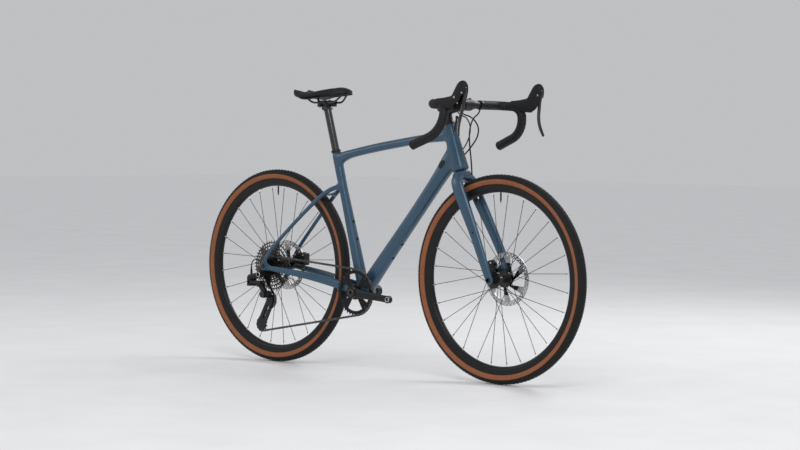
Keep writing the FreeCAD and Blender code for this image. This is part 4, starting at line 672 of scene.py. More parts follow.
# Stations of the stays: share of the line from the rear axle, lift above it, distance from the middle,
# half width and half height. Those of the fork's blades have the share of the rake in place of the lift.
CHAINSTAY = (
    (0.032, -2.6, 75, 5, 10), (0.178, 2, 66, 6.5, 11.5), (0.436, 7, 51.5, 8.5, 13),
    (0.648, 7, 38.5, 8.5, 15), (0.824, 6, 33.5, 8.5, 17), (0.977, 4, 31.5, 8.5, 18),
)
SEATSTAY = (
    (0.009, 8.4, 75, 5, 9), (0.112, 27.6, 71, 7.5, 7.5), (0.441, 33.6, 55, 7.5, 7.5),
    (0.795, 28.2, 33, 8.5, 8.5), (1.0, 0, 9, 9.5, 9.5),
)
FORK_BLADE = (
    (0.056, 0.0, 30, 11.5, 23), (0.127, 0.06, 40, 11.5, 24), (0.291, 0.26, 44, 11.5, 23),
    (0.582, 0.64, 51.5, 9.5, 19), (0.835, 0.89, 57.5, 8.5, 16.5), (1.01, 1.0, 58.5, 7.5, 14),
)


def axle_hole(axle):
    """Cutter for the hole of an axle."""
    bm = bmesh.new()
    turned(bm, axle - ACROSS * 0.1, ACROSS, [(0, AXLE_HOLE, 32), (200, AXLE_HOLE, 32)])
    return bm


def stay(bm, end, rows, sign, power, count):
    """Stay from the rear axle to an end."""
    stations = [(along(REAR, end, share, lift, sign * y), a, b) for share, lift, y, a, b in rows]
    limb(bm, stations, power=power, count=count, grow=0.8)


def frame_tubes(bm):
    """Tubes, stays and dropouts of the frame as overlapping solids."""
    limb(bm, [(seat_point(0), 20, 20), (seat_point(112), 20, 20),
              (seat_point(330), 16.2, 16.2), (seat_point(470), 16.2, 17),
              (seat_point(SEAT_LENGTH), 16.2, 16.4)], power=2.1, count=36, grow=0.4)
    limb(bm, [(steer_point(0), 28, 28), (steer_point(36), 26, 26.5),
              (steer_point(100), 23.2, 24.3),
              (steer_point(HEAD_LENGTH), 23.3, 23.3)], power=2.7, count=40, grow=0.3)
    limb(bm, [(BRACKET, 26, 28), (along(BRACKET, DOWN_END, 0.24), 24, 25),
              (along(BRACKET, DOWN_END, 0.58, -4), 23, 23), (along(BRACKET, DOWN_END, 0.83, -3), 23, 25),
              (along(BRACKET, DOWN_END, 0.92, -1.5), 23, 30), (DOWN_END, 21, 34)],
         power=2.5, count=40, grow=0.3)
    stations = []
    for share, wider, higher, sag in (
            (0, -3, 12, 9), (0.06, -1.5, 4, 3.2), (0.143, 0, 0, 0), (0.374, 0, 0, 0), (0.676, 0, 0, 0),
            (0.837, 0, 1, 0), (1, 2, 5, 0)):
        point = along(TOP_START, TOP_END, share, TOP_BOW * 4 * share * (1 - share) - sag)
        stations.append((point, 18 + wider, 15 + higher))
    limb(bm, stations, power=2.6, count=36, grow=0.3)
    turned(bm, BRACKET - leftward(43), ACROSS, [(0, 24, 48), (86, 24, 48)])
    for sign in (1, -1):
        stay(bm, BRACKET, CHAINSTAY, sign, power=2.8, count=28)
        stay(bm, STAY_END, SEATSTAY, sign, power=2.2, count=24)
        turned(bm, STAY_BRIDGE, ACROSS * sign, [(0, 7), (33, 7)])
        dropout(bm, sign)


def dropout(bm, sign):
    """Plate round the rear axle between the stays."""
    middle = REAR + leftward(sign * DROPOUT_Y)
    limb(bm, [(middle + mm(4, 0, 22), 4.6, 8), (middle + mm(-2, 0, 6), 4.6, 14.5),
              (middle + mm(0, 0, -6), 4.6, 14.5), (middle + mm(14, 0, -10), 4.6, 9)],
         power=4.0, count=32, steps=4, grow=0.3)
    limb(bm, [(middle + mm(-4, 0, 0), 4.6, 14), (middle + mm(12, 0, 0), 4.6, 15),
              (middle + mm(30, 0, -3), 4.9, 11)], power=4.0, count=32, steps=4, grow=0.3)


class BIKE_OT_frame_skin(bpy.types.Operator):
    """Painted frame: the tubes, stays and dropouts as one smooth skin"""

    bl_idname = "bike.frame_skin"
    bl_label = "Frame"

    def execute(self, context):
        solid = bmesh.new()
        frame_tubes(solid)
        skin = welded(solid, sizes().skin_voxel, [axle_hole(REAR)])
        spots = [(TOP_END, 62, 14), (DOWN_END, 66, 14), (TOP_START, 44, 18), (BRACKET, 60, 6),
                 (STAY_BRIDGE, 44, 6), (STAY_END, 34, 14),
                 (REAR + mm(6, DROPOUT_Y, 4), 30, 5), (REAR + mm(6, -DROPOUT_Y, 4), 30, 5)]
        relax(skin, SKIN_ROUNDS, spots)
        finished(skin, "frame_skin", "frame", "paint",
                 ("head_tube", "top_tube", "down_tube", "seat_tube", "bottom_bracket_shell", "chainstays",
                  "seatstays", "dropouts"))
        return {"FINISHED"}


def blade_point(share, rake_share, y):
    """Point of a fork blade: shares of the way down to the axle and of the rake."""
    return steer_point(-share * FORK_LENGTH, rake_share * FORK_RAKE, y)


class BIKE_OT_fork_skin(bpy.types.Operator):
    """Painted fork: crown and blades as one smooth skin, arched over the tyre"""

    bl_idname = "bike.fork_skin"
    bl_label = "Fork"

    def execute(self, context):
        solid = bmesh.new()
        limb(solid, [(steer_point(-2), 28, 28), (steer_point(-18), 38, 28),
                     (steer_point(-36, 1), 49, 24)], power=2.2, count=40, grow=0.3)
        for sign in (1, -1):
            stations = [(blade_point(share, rake, sign * y), a, b) for share, rake, y, a, b in FORK_BLADE]
            limb(solid, stations, power=2.4, count=32, grow=0.5)
            turned(solid, FRONT + leftward(sign * 50), ACROSS * sign, [(0, 15.2), (13, 15.2), (15, 13.4)])
        caliper_mount = steer_point(30 - FORK_LENGTH, 12, 46)
        block(solid, (0, 0, 0), (40, 14, 26), FORK_LEAN, caliper_mount, rounding=2.0)
        arch = bmesh.new()
        turned(arch, FRONT - leftward(ARCH_HALF), ACROSS,
               [(0, ARCH_RADIUS, 160), (2 * ARCH_HALF, ARCH_RADIUS, 160)])
        skin = welded(solid, sizes().skin_voxel * FORK_FINER, [arch, axle_hole(FRONT)])
        spots = [(steer_point(-24, 0, 30), 46, 10), (steer_point(-24, 0, -30), 46, 10)]
        relax(skin, SKIN_ROUNDS, spots)
        finished(skin, "fork_skin", "steering", "paint", ("fork",))
        return {"FINISHED"}


# Wheels

# Half sections of the casing, outside and inside: distance from the axle and from the middle
TYRE_PROFILE = (
    (311.0, 11.6), (316.6, 12.0), (317.2, 14.2), (320.0, 16.4), (324.9, 18.5), (329.5, 19.6), (333.4, 19.9),
    (337.6, 19.0), (341.4, 17.0), (344.6, 14.0), (346.9, 10.2), (348.4, 6.0), (349.0, 2.0),
)
TYRE_INSIDE = ((311.0, 9.0), (318.0, 10.0), (327.0, 15.6), (338.0, 15.0), (345.0, 8.0))

# Rows of knobs: distance from the middle and from the axle, tilt, place in the pitch, length and width
KNOB_ROWS = (
    (2.4, 349.0, 4, 0.0, 2.6, 2.2), (6.6, 348.2, 13, 0.5, 2.9, 2.0), (10.6, 346.7, 22, 0.0, 3.3, 2.2),
    (14.6, 344.0, 38, 0.5, 3.9, 2.7), (17.6, 340.4, 58, 0.0, 4.6, 2.4),
)
KNOB_ROOT = 1.6
KNOB_OUT = 0.2
KNOB_TAPER = (0.78, 0.74, 1.0)
KNOB_STAGGER = 0.25
TYRE_STEPS = 168


def tyre(end, axle):
    """Hollow casing of one wheel, and its tread."""
    bm = bmesh.new()
    points = list(TYRE_PROFILE) + [(r, -y) for r, y in reversed(TYRE_PROFILE)]
    points += [(r, -y) for r, y in TYRE_INSIDE] + [(r, y) for r, y in reversed(TYRE_INSIDE)]
    verts = [bm.verts.new(axle + mm(0, y, -r)) for r, y in points]
    edges = [bm.edges.new((a, b)) for a, b in zip(verts, verts[1:] + verts[:1])]
    bmesh.ops.spin(bm, geom=verts + edges, cent=axle, axis=ACROSS, angle=2 * math.pi, steps=TYRE_STEPS,
                   use_merge=True)
    name = end + "_tyre"
    finished(bm, name + "_casing", end + "_wheel", name, (name,))
    tread(name + "_tread", axle, end + "_wheel", name)


def tread(name, axle, body, finish):
    """Rows of small knobs round a tyre."""
    bm = bmesh.new()
    pitches = sizes().tread_pitches
    tall = sizes().knob_height
    step = 2 * math.pi / pitches
    for y, radius, tilt, phase, long, wide in KNOB_ROWS:
        for sign in (1, -1):
            made = bmesh.ops.create_cube(bm, size=1.0)
            bmesh.ops.scale(bm, vec=(long * MM, wide * MM, tall * KNOB_ROOT), verts=made["verts"])
            top = [vert for vert in made["verts"] if vert.co.z < 0]
            bmesh.ops.scale(bm, vec=KNOB_TAPER, verts=top)
            place = phase if sign > 0 else phase + KNOB_STAGGER
            matrix = (Matrix.Translation(axle)
                      @ Matrix.Rotation(step * place, 4, "Y")
                      @ Matrix.Translation(mm(0, sign * y, -radius))
                      @ Matrix.Rotation(math.radians(sign * tilt), 4, "X")
                      @ Matrix.Translation((0, 0, -tall * KNOB_OUT)))
            bmesh.ops.transform(bm, matrix=matrix, verts=made["verts"])
    geom = list(bm.verts) + list(bm.edges) + list(bm.faces)
    bmesh.ops.spin(bm, geom=geom, cent=axle, axis=ACROSS, angle=2 * math.pi - step, steps=pitches - 1,
                   use_duplicate=True)
    finished(bm, name, body, finish, smooth=False)


class BIKE_OT_tyres(bpy.types.Operator):
    """Tyres: tan-walled casings with rows of small knobs"""

    bl_idname = "bike.tyres"
    bl_label = "Tyres"

    def execute(self, context):
        tyre("front", FRONT)
        tyre("rear", REAR)
        return {"FINISHED"}


# Cockpit


def bent_line(corners, bends):
    """Points along a bar that is bent round its corners, read from a Bezier curve."""
    knots = [(corners[0], corners[0], corners[0])]
    for before, corner, after, radius in zip(corners, corners[1:], corners[2:], bends):
        come = (corner - before).normalized()
        leave = (after - corner).normalized()
        angle = come.angle(leave)
        reach = radius * MM * math.tan(angle / 2)
        handle = radius * MM * math.tan(angle / 4) * 4 / 3
        start = corner - come * reach
        end = corner + leave * reach
        knots.append((start, start, start + come * handle))
        knots.append((end, end - leave * handle, end))
    knots.append((corners[-1], corners[-1], corners[-1]))
    curve = bpy.data.curves.new("bent_line", "CURVE")
    curve.dimensions = "3D"
    spline = curve.splines.new("BEZIER")
    spline.resolution_u = 32
    spline.bezier_points.add(len(knots) - 1)
    for knot, (place, left, right) in zip(spline.bezier_points, knots):
        knot.handle_left_type = "FREE"
        knot.handle_right_type = "FREE"
        knot.co = place
        knot.handle_left = left
        knot.handle_right = right
    return curve_points(curve)


def curve_mesh(curve):
    """The mesh of a curve. The curve goes."""
    holder = bpy.data.objects.new(curve.name + "_line", curve)
    mesh = bpy.data.meshes.new_from_object(holder)
    bpy.data.objects.remove(holder)
    bpy.data.curves.remove(curve)
    return mesh


def curve_points(curve):
    """The points of a curve with no bevel, in order."""
    mesh = curve_mesh(curve)
    points = [vert.co.copy() for vert in mesh.vertices]
    bpy.data.meshes.remove(mesh)
    return points


def paced(points, step):
    """Points at an even step along a line."""
    total = sum((b - a).length for a, b in zip(points, points[1:]))
    count = round(total / step)
    even = [points[0]]
    done = 0.0
    for a, b in zip(points, points[1:]):
        length = (b - a).length
        while len(even) <= count and total * len(even) / count <= done + length + 1e-9:
            even.append(a.lerp(b, (total * len(even) / count - done) / length))
        done += length
    return even


def carried(points):
    """Each point with its way and two directions across it that don't twist along the line."""
    last = len(points) - 1
    ways = [(points[min(i + 1, last)] - points[max(i - 1, 0)]).normalized() for i in range(last + 1)]
    first = side_ways(ways[0])[0]
    rows = []
    for point, way in zip(points, ways):
        first = (first - way * way.dot(first)).normalized()
        rows.append((point, first, way.cross(first)))
    return rows


def bar_corners(sign):
    """Corners of one half of the bar, from the stem to the end of the drop."""
    places = ((0, 72, 0), (0, 188, 0), (83.5, 203, -6), (69.5, 219, -94.6), (-35.5, 231, -137.6))
    return [BAR + mm(x, sign * y, z) for x, y, z in places]


BAR_BENDS = (40.0, 36.0, 86.0)
TAPE_RADIUS = 15.0
TAPE_RISE = 0.75
TAPE_LAP = 0.14
TAPE_STEPS = 9


def tape_half(bm, sign):
    """Tape wound round one half of the bar: each turn lies over the edge of the last one."""
    pitch = sizes().tape_pitch
    step = pitch / TAPE_STEPS
    line = paced(bent_line(bar_corners(sign), BAR_BENDS), step)
    rings = []
    for i, (point, first, second) in enumerate(carried(line)):
        made = bmesh.ops.create_circle(bm, cap_ends=False, segments=44, radius=1.0)
        for vert in made["verts"]:
            turn = math.atan2(vert.co.y, vert.co.x) / (2 * math.pi)
            share = (i * step / pitch + sign * turn) % 1.0
            rise = share / TAPE_LAP if share < TAPE_LAP else (1.0 - share) / (1.0 - TAPE_LAP)
            radius = (TAPE_RADIUS + TAPE_RISE * rise) * MM
            vert.co = point + (first * vert.co.x + second * vert.co.y) * radius
        rings.append(edges_of(made["verts"]))
    bridge(bm, rings)


class BIKE_OT_tape(bpy.types.Operator):
    """Wound bar tape with its finishing bands and end plugs"""

    bl_idname = "bike.tape"
    bl_label = "Bar tape"

    def execute(self, context):
        wound = bmesh.new()
        trim = bmesh.new()
        for sign in (1, -1):
            tape_half(wound, sign)
            corners = bar_corners(sign)
            turned(trim, corners[0] - leftward(sign * 2), ACROSS * sign, [
                (0, 13.0), (0.2, 15.4), (0.8, 15.9), (13.0, 16.0), (13.6, 15.8), (13.8, 13.0)])
            way = (corners[-1] - corners[-2]).normalized()
            turned(trim, corners[-1] - way * MM, way, [
                (0, 14.0), (0.2, 15.5), (1.6, 15.9), (3.2, 15.6), (4.8, 14.2), (5.8, 11.5), (6.0, 8.6),
                (5.4, 7.8), (5.2, 3.0)])
        finished(wound, "wound_tape", "steering", "tape", ("bar_tape",))
        finished(trim, "tape_trim", "steering", "hose")
        return {"FINISHED"}


# Stations of a hood: ahead of the bar, above it, half width and half height
HOOD_STATIONS = (
    (41.4, 0, 16.6, 16.8), (63.4, 0, 17.5, 18), (88.4, 0, 18, 21.5), (111.4, 2, 18, 25.5),
    (124.4, 12, 17.5, 36), (137.4, 23, 17, 45), (151.4, 31, 16, 43), (163.4, 41, 13, 30),
    (170.4, 46, 8, 15),
)
HOOD_VOXEL = 0.0016
SLOT_VOXEL = 0.0011
HOOD_ROUNDS = 3
HOOD_LENGTH = 118.6
HOOD_INWARD = 4


def lever_place(sign):
    """Pivot of the lever on one side."""
    return BAR + mm(LEVER_AHEAD, sign * LEVER_SIDE, LEVER_UP)


def hood(sign):
    """Skin of one hood, with room for the lever to swing."""
    solid = bmesh.new()
    stations = []
    for ahead, up, half_width, half_height in HOOD_STATIONS:
        y = LEVER_SIDE - HOOD_INWARD * (LEVER_AHEAD - ahead) / HOOD_LENGTH
        stations.append((BAR + mm(ahead, sign * y, up), half_width, half_height))
    rings = []
    for point, half_width, half_height in eased(stations, 6):
        rings.append(ring_edges(solid, point, ACROSS, UP, half_width * MM, half_height * MM, power=2.35,
                                count=40))
    bridge(solid, rings)
    place = lever_place(sign)
    slot = bmesh.new()
    block(slot, (-14, -6.6, -20), (40, 6.6, 22), center=place, rounding=1.2)
    near, far = sorted((-7.1 * sign, 13.2 * sign))
    block(slot, (-37, near, -70), (43, far, -8), center=place, rounding=1.6)
    skin = welded(solid, HOOD_VOXEL, [welded(slot, SLOT_VOXEL)])
    relax(skin, HOOD_ROUNDS)
    return skin


class BIKE_OT_hoods(bpy.types.Operator):
    """Rubber hoods of the two levers, with their pins"""

    bl_idname = "bike.hoods"
    bl_label = "Hoods"

    def execute(self, context):
        for side, sign in (("left", 1), ("right", -1)):
            finished(hood(sign), "hood_" + side, "steering", "hood",
                     ("lever_hoods",) if sign > 0 else ())
            pins = bmesh.new()
            place = lever_place(sign)
            for away in (1, -1):
                turned(pins, place + leftward(away * 14.0), ACROSS * away,
                       [(0, 3.0), (1.6, 3.0), (2.0, 2.5), (2.0, 1.2, 6), (1.2, 1.1, 6)])
            turned(pins, place - leftward(6.4), ACROSS, [(0, 2.4), (12.8, 2.4)])
            socket_bolt(pins, place + mm(-30, sign * 16.0, -15), ACROSS * sign, 3.6, 1.8)
            turned(pins, place + mm(-16, sign * 15.2, -34), ACROSS * sign,
                   [(0, 2.4), (1.4, 2.4), (1.9, 1.8)])
            finished(pins, "lever_pins_" + side, "steering", "steel")
        return {"FINISHED"}


HOSE_RADIUS = 2.5
HOUSING_RADIUS = 2.0


def hose(name, points, radius):
    """Hose on a smooth line with the route's points as its control points."""
    curve = bpy.data.curves.new(name, "CURVE")
    curve.dimensions = "3D"
    curve.bevel_depth = radius * MM
    curve.bevel_resolution = 5
    curve.use_fill_caps = True
    spline = curve.splines.new("NURBS")
    spline.points.add(len(points) - 1)
    for knot, point in zip(spline.points, points):
        knot.co = (point.x, point.y, point.z, 1.0)
    spline.order_u = 3
    spline.use_endpoint_u = True
    spline.resolution_u = 10
    mesh = curve_mesh(curve)
    mesh.shade_smooth()
    mesh.materials.clear()
    mesh.materials.append(FINISH["hose"])
    piece = linked(name, mesh)
    return piece


class BIKE_OT_hoses(bpy.types.Operator):
    """Brake hoses and shift housing, from the bar to the fork and the down tube"""

    bl_idname = "bike.hoses"
    bl_label = "Hoses"

    def execute(self, context):
        front = hose("front_hose_line", [
            BAR + mm(13.2, 73, -6.3), BAR + mm(13.5, 62, -12), BAR + mm(10, 58, -30),
            steer_point(164, 72, 44), steer_point(136, 62, 29), steer_point(101, 54, 20),
            steer_point(63, 47, 18), steer_point(21, 38, 20), steer_point(-21, 25, 22)], HOSE_RADIUS)
        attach(front, "steering")
        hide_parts("front_brake_hose")
        rear = hose("rear_hose_line", [
            BAR + mm(13.2, -73, -6.3), BAR + mm(18, -63, -13), BAR + mm(37, -59, -34),
            steer_point(149, 128, -36), steer_point(126, 127, -14), steer_point(107, 114, 4),
            steer_point(88, 87, 19), steer_point(74, 52, 29), steer_point(59, 15, 34),
            PORT + mm(31, 33, 16), PORT + mm(8, 24, -4)], HOSE_RADIUS)
        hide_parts("rear_brake_hose")
        shift = hose("shift_line", [
            BAR + mm(7.3, -73, -12.7), BAR + mm(12, -63, -20), BAR + mm(28, -60, -37),
            steer_point(152, 113, -43), steer_point(127, 103, -20), steer_point(105, 75, 2),
            steer_point(85, 37, 21), steer_point(72, 3, 31), PORT + mm(18, 31, 26),
            PORT + mm(-2, 24, 8)], HOUSING_RADIUS)
        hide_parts("shift_housing")
        for piece in (rear, shift):
            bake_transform(piece)
        tail = hose("shift_tail", [
            BARREL + mm(44, 1.5, 29), BARREL + mm(29, 1.2, 37), BARREL + mm(14, 0.8, 37),
            BARREL + mm(3, 0.3, 27), BARREL + mm(0, 0, 13), BARREL], HOUSING_RADIUS)
        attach(tail, "frame")
        turned_piece("housing_end", "frame", "dark_steel", BARREL - UP * (4 * MM), UP,
                     [(0, 3.4), (6, 3.4), (7, 2.9), (16, 2.7), (16.4, 2.2)])
        return {"FINISHED"}


# Saddle

# Stations of the saddle: ahead of the clamp, half width, top, lower edge and rise of the wings
SADDLE_STATIONS = (
    (119, 10, 42, 33, 0), (108, 18, 48, 30, 0), (81, 21, 53, 27, 0), (36, 27, 49, 24, 0),
    (-9, 41, 43, 20, 0), (-49, 56, 36.5, 15, 0), (-85, 62, 32.5, 13, 7), (-118, 52, 36, 19, 20),
    (-125, 42, 39, 26, 20),
)
PAD_INSET = 1.2
PAD_VOXEL = 0.0042
PAD_PRESSURE = 4.0
PAD_TRAVEL = 0.005
PAD_ROUNDS = 4
CLOTH_STEPS = 20
CHANNEL_ABOVE = 34
CHANNEL_DEPTH = 2.4
CHANNEL_HALF_WIDTH = 9
CHANNEL_WIDENING = 0.04
CHANNEL_MIDDLE = -20
CHANNEL_HALF_LENGTH = 92


def saddle_section(half, top, edge, wing):
    """Points of half a section, from the top to the hollow below, in millimetres."""
    rise = top - edge
    return [
        (0.0, top), (0.45 * half, top - 0.06 * rise + 0.35 * wing), (0.8 * half, top - 0.28 * rise + wing),
        (half, edge + 0.35 * rise + 0.8 * wing), (0.92 * half, edge + 0.3 * wing),
        (0.5 * half, edge + 0.3 * rise), (0.0, edge + 0.34 * rise)]


def saddle_solid(inset):
    """Closed saddle form: crowned nose, dished tail with raised wings, hollow below."""
    bm = bmesh.new()
    stations = []
    for ahead, half, top, edge, wing in SADDLE_STATIONS:
        stations.append((RAILS + mm(ahead, 0, 0), half - inset, top - inset, edge + inset * 0.5, wing))
    rings = []
    for point, half, top, edge, wing in eased(stations, 5):
        shape = saddle_section(half, top, edge, wing)
        side = [(point + mm(0, y, z),) for y, z in shape]
        other = [(point + mm(0, -y, z),) for y, z in reversed(shape[1:-1])]
        outline = [row[0] for row in eased(side + other + side[:1], 4)][:-1]
        made = bmesh.ops.create_circle(bm, cap_ends=False, segments=len(outline), radius=1.0)
        for vert, place in zip(made["verts"], outline):
            vert.co = place
        rings.append(edges_of(made["verts"]))
    bridge(bm, rings)
    return bm


def puffed(bm, voxel, pressure, cap):
    """Padding swollen under its cover by a cloth simulation, with a cap on how far a point may move."""
    helper = placed(bm, "padding")
    remeshed(helper, voxel)
    rest = [vert.co.copy() for vert in helper.data.vertices]
    cloth = helper.modifiers.new("cover", "CLOTH")
    cloth.settings.use_pressure = True
    cloth.settings.uniform_pressure_force = pressure
    cloth.settings.effector_weights.gravity = 0.0
    for step in range(1, CLOTH_STEPS + 1):
        bpy.context.scene.frame_set(step)
    applied(helper)
    bpy.context.scene.frame_set(1)
    for vert, start in zip(helper.data.vertices, rest):
        moved = vert.co - start
        if moved.length > cap:
            vert.co = start + moved.normalized() * cap
    return taken(helper)


class BIKE_OT_saddle(bpy.types.Operator):
    """Padded saddle with a shallow channel along its middle"""

    bl_idname = "bike.saddle"
    bl_label = "Saddle"

    def execute(self, context):
        pad = puffed(saddle_solid(PAD_INSET), PAD_VOXEL, PAD_PRESSURE, PAD_TRAVEL)
        relax(pad, PAD_ROUNDS)
        for vert in pad.verts:
            place = (vert.co - RAILS) / MM
            if place.z > CHANNEL_ABOVE:
                lengthways = max(0.0, 1.0 - ((place.x - CHANNEL_MIDDLE) / CHANNEL_HALF_LENGTH) ** 2)
                half_width = CHANNEL_HALF_WIDTH + CHANNEL_WIDENING * max(0.0, -place.x)
                sideways = max(0.0, 1.0 - (place.y / half_width) ** 2)
                vert.co.z -= CHANNEL_DEPTH * MM * lengthways ** 0.5 * sideways ** 2
        piece = finished(pad, "padded_saddle", "saddle", "saddle", ("saddle_cover",))
        fine = piece.modifiers.new("smooth", "SUBSURF")
        fine.levels = 1
        fine.render_levels = 1
        applied(piece)
        return {"FINISHED"}


# Small metal parts


def turned_piece(name, body, finish, base, axis, steps):
    """Piece that is one turned form."""
    bm = bmesh.new()
    turned(bm, base, axis, steps)
    finished(bm, name, body, finish)


def eye(bm, place, axis, outer, inner, low, high):
    """Short open ring with chamfered lips."""
    turned(bm, place, axis, [
        (low, inner), (low, outer - 0.3), (low + 0.3, outer), (high - 0.4, outer), (high, outer - 0.4),
        (high, inner + 0.3), (high - 0.3, inner), (low, inner)], cap=False)
    bmesh.ops.remove_doubles(bm, verts=bm.verts, dist=0.000001)


class BIKE_OT_bosses(bpy.types.Operator):
    """Threaded bosses with bolts in them: bottle bosses on the tubes, eyelets on the fork"""

    bl_idname = "bike.bosses"
    bl_label = "Bosses and eyelets"

    def execute(self, context):
        groups = {"frame": bmesh.new(), "steering": bmesh.new()}
        places = [("frame", seat_point(up, out), SEAT_OUT) for up, out in ((187, 18.2), (251, 17.2))]
        for steps, side, reach in ((0, 1, 22.6), (1, 1, 22.6), (0, -1, 25.4), (-1, -1, 25.4)):
            middle = along(BRACKET, DOWN_END, BOSS_SHARE + steps * BOSS_STEP)
            places.append(("frame", middle + DOWN_UP * (side * reach * MM), DOWN_UP * side))
        for share, rake_share, y in ((0.572, 0.66, 59.6), (0.942, 1.02, 61.8)):
            for sign in (1, -1):
                places.append(("steering", blade_point(share, rake_share, sign * y), ACROSS * sign))
        for body, place, axis in places:
            turned(groups[body], place - axis * (2.0 * MM), axis, [
                (0, 5.4), (2.4, 5.4), (3.0, 4.9), (3.0, 4.0), (2.2, 3.8)])
            socket_bolt(groups[body], place - axis * (0.4 * MM), axis, 3.6, 2.4)
        for body, bm in groups.items():
            finished(bm, "bosses_" + body, body, "anodised")
        return {"FINISHED"}


def axle_ends(bm, axle, y, radius, height):
    """Bolt heads at both ends of an axle."""
    for sign in (1, -1):
        socket_bolt(bm, axle + leftward(sign * y), ACROSS * sign, radius, height)


def stem_bolts():
    """Top cap and bolts of the stem, and the ends of both axles."""
    steering = bmesh.new()
    turned(steering, STEM_TOP - STEER * (0.4 * MM), STEER,
           [(0, 16.4), (3.4, 16.4), (4.6, 15.4), (4.8, 14.0), (4.6, 6.0)])
    socket_bolt(steering, STEM_TOP + STEER * (3.6 * MM), STEER, 4.6, 2.6)
    for level in (1, -1):
        for sign in (1, -1):
            place = BAR + STEM_UP * (level * 17.0 * MM) + leftward(sign * 14.0) + STEM_WAY * (9.0 * MM)
            socket_bolt(steering, place, STEM_WAY, 4.2, 5.0)
        back = steer_point(STEM_LEVEL + level * 10, -20.0)
        turned(steering, back - leftward(11), ACROSS, [(0, 4.6), (0.8, 5.4), (21.2, 5.4), (22, 4.6)])
        socket_bolt(steering, back - leftward(9.6), -ACROSS, 4.0, 3.4)
    axle_ends(steering, FRONT, 64.4, 8.4, 2.6)
    finished(steering, "cockpit_bolts", "steering", "dark_steel")
    fixed = bmesh.new()
    axle_ends(fixed, REAR, 79.6, 7.4, 2.2)
    finished(fixed, "frame_bolts", "frame", "dark_steel")


def seat_bolts():
    """Bolt of the seat wedge, and the bolts and the yoke of the saddle's clamp."""
    wedge = bmesh.new()
    socket_bolt(wedge, seat_point(SEAT_LENGTH - 7, 16.4), SEAT_OUT + SEAT * 0.8, 4.4, 2.6)
    finished(wedge, "seat_wedge_bolt", "frame", "steel")
    seat = bmesh.new()
    for ahead in (12.5, -12.5):
        socket_bolt(seat, RAILS + mm(ahead, 0, 6.0), UP, 4.4, 4.6)
        turned(seat, RAILS + mm(ahead, 0, -9), UP, [(0, 2.6), (15, 2.6)])
    for ahead in (-37, 23):
        socket_bolt(seat, RAILS + mm(ahead, 0, -13.5), -UP, 4.6, 5.0)
    finished(seat, "saddle_bolts", "saddle", "steel")
    yoke = bmesh.new()
    block(yoke, (-43, -7.5, -14), (26, 7.5, -7), center=RAILS, rounding=2.0, segments=3)
    block(yoke, (-27, -24, 3), (27, 24, 7.6), center=RAILS, rounding=1.6, segments=3)
    finished(yoke, "saddle_yoke", "saddle", "anodised")


RING_BOLT_RADIUS = 70.8


def crank_bolts():
    """Bolts of the cranks and the chainring, and the lips of the pedal holes."""
    crank = bmesh.new()
    for sign in (1, -1):
        face = BRACKET + leftward(sign * 73)
        turned(crank, face - leftward(sign * 0.6), ACROSS * sign, [
            (0, 14.5), (1.0, 14.5), (1.5, 14.0), (1.5, 11.0), (0.9, 10.6), (0.9, 5.2, 6), (-3.0, 5.0, 6)])
    for step in range(4):
        turn = math.radians(45 + 90 * step)
        place = mm(RING_BOLT_RADIUS * math.cos(turn), -49.4, RING_BOLT_RADIUS * math.sin(turn))
        socket_bolt(crank, BRACKET + place, -ACROSS, 4.6, 1.8)
    finished(crank, "crank_bolts", "crank", "dark_steel")
    eyes = bmesh.new()
    for mount in frame["record"]["mounts"]:
        if "pedal" in mount["name"]:
            eye(eyes, Vector(mount["pos_m"]), Vector(mount["axis"]), 9.6, 7.2, -7.0, 7.1)
    finished(eyes, "pedal_eyes", "crank", "steel")


class BIKE_OT_bolts(bpy.types.Operator):
    """Bolts of the stem, seat and cranks, the axles' ends and the lips of the pedal holes"""

    bl_idname = "bike.bolts"
    bl_label = "Bolts"

    def execute(self, context):
        stem_bolts()
        seat_bolts()
        crank_bolts()
        return {"FINISHED"}


def islands(bm):
    """Groups of vertices that edges join."""
    left = set(bm.verts)
    groups = []
    while left:
        group = []
        edge_of_group = [left.pop()]
        while edge_of_group:
            vert = edge_of_group.pop()
            group.append(vert)
            near = {edge.other_vert(vert) for edge in vert.link_edges} & left
            left -= near
            edge_of_group.extend(near)
        groups.append(group)
    return groups


LOWER_MARGIN = 0.006
LOWER_SLOPE = 0.18
CAGE_AHEAD = 0.09
CAGE_BELOW = 0.05


def chain_length(point):
    """Which length of the chain a link belongs to."""
    wheel = pivot("tension_wheel_spin")
    ahead = point.x - wheel.x
    below = wheel.z - LOWER_MARGIN + LOWER_SLOPE * ahead
    if ahead > LOWER_MARGIN and point.z < below and point.x < BRACKET.x:
        return "lower"
    if point.x < REAR.x + CAGE_AHEAD and point.z < REAR.z - CAGE_BELOW:
        return "cage"
    return "upper"


class BIKE_OT_chain(bpy.types.Operator):
    """Chain in three lengths: the upper one rides on the frame, the cage and lower ones on no body"""

    bl_idname = "bike.chain"
    bl_label = "Chain"

    def execute(self, context):
        for length in ("upper", "cage", "lower"):
            bm = bmesh.new()
            bm.from_mesh(frame["nodes"]["chain"].data)
            other = []
            for group in islands(bm):
                middle = sum((vert.co for vert in group), Vector()) / len(group)
                if chain_length(middle) != length:
                    other.extend(group)
            bmesh.ops.delete(bm, geom=other, context="VERTS")
            body = "frame" if length == "upper" else None
            piece = finished(bm, "chain_" + length, body, "chain", ("chain",))
            if length == "cage":
                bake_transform(piece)
            if length == "lower":
                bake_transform(piece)
        return {"FINISHED"}


CAGE_FACE = -53.4
LINK_LENGTH = 45
LINK_HALF = 5.5


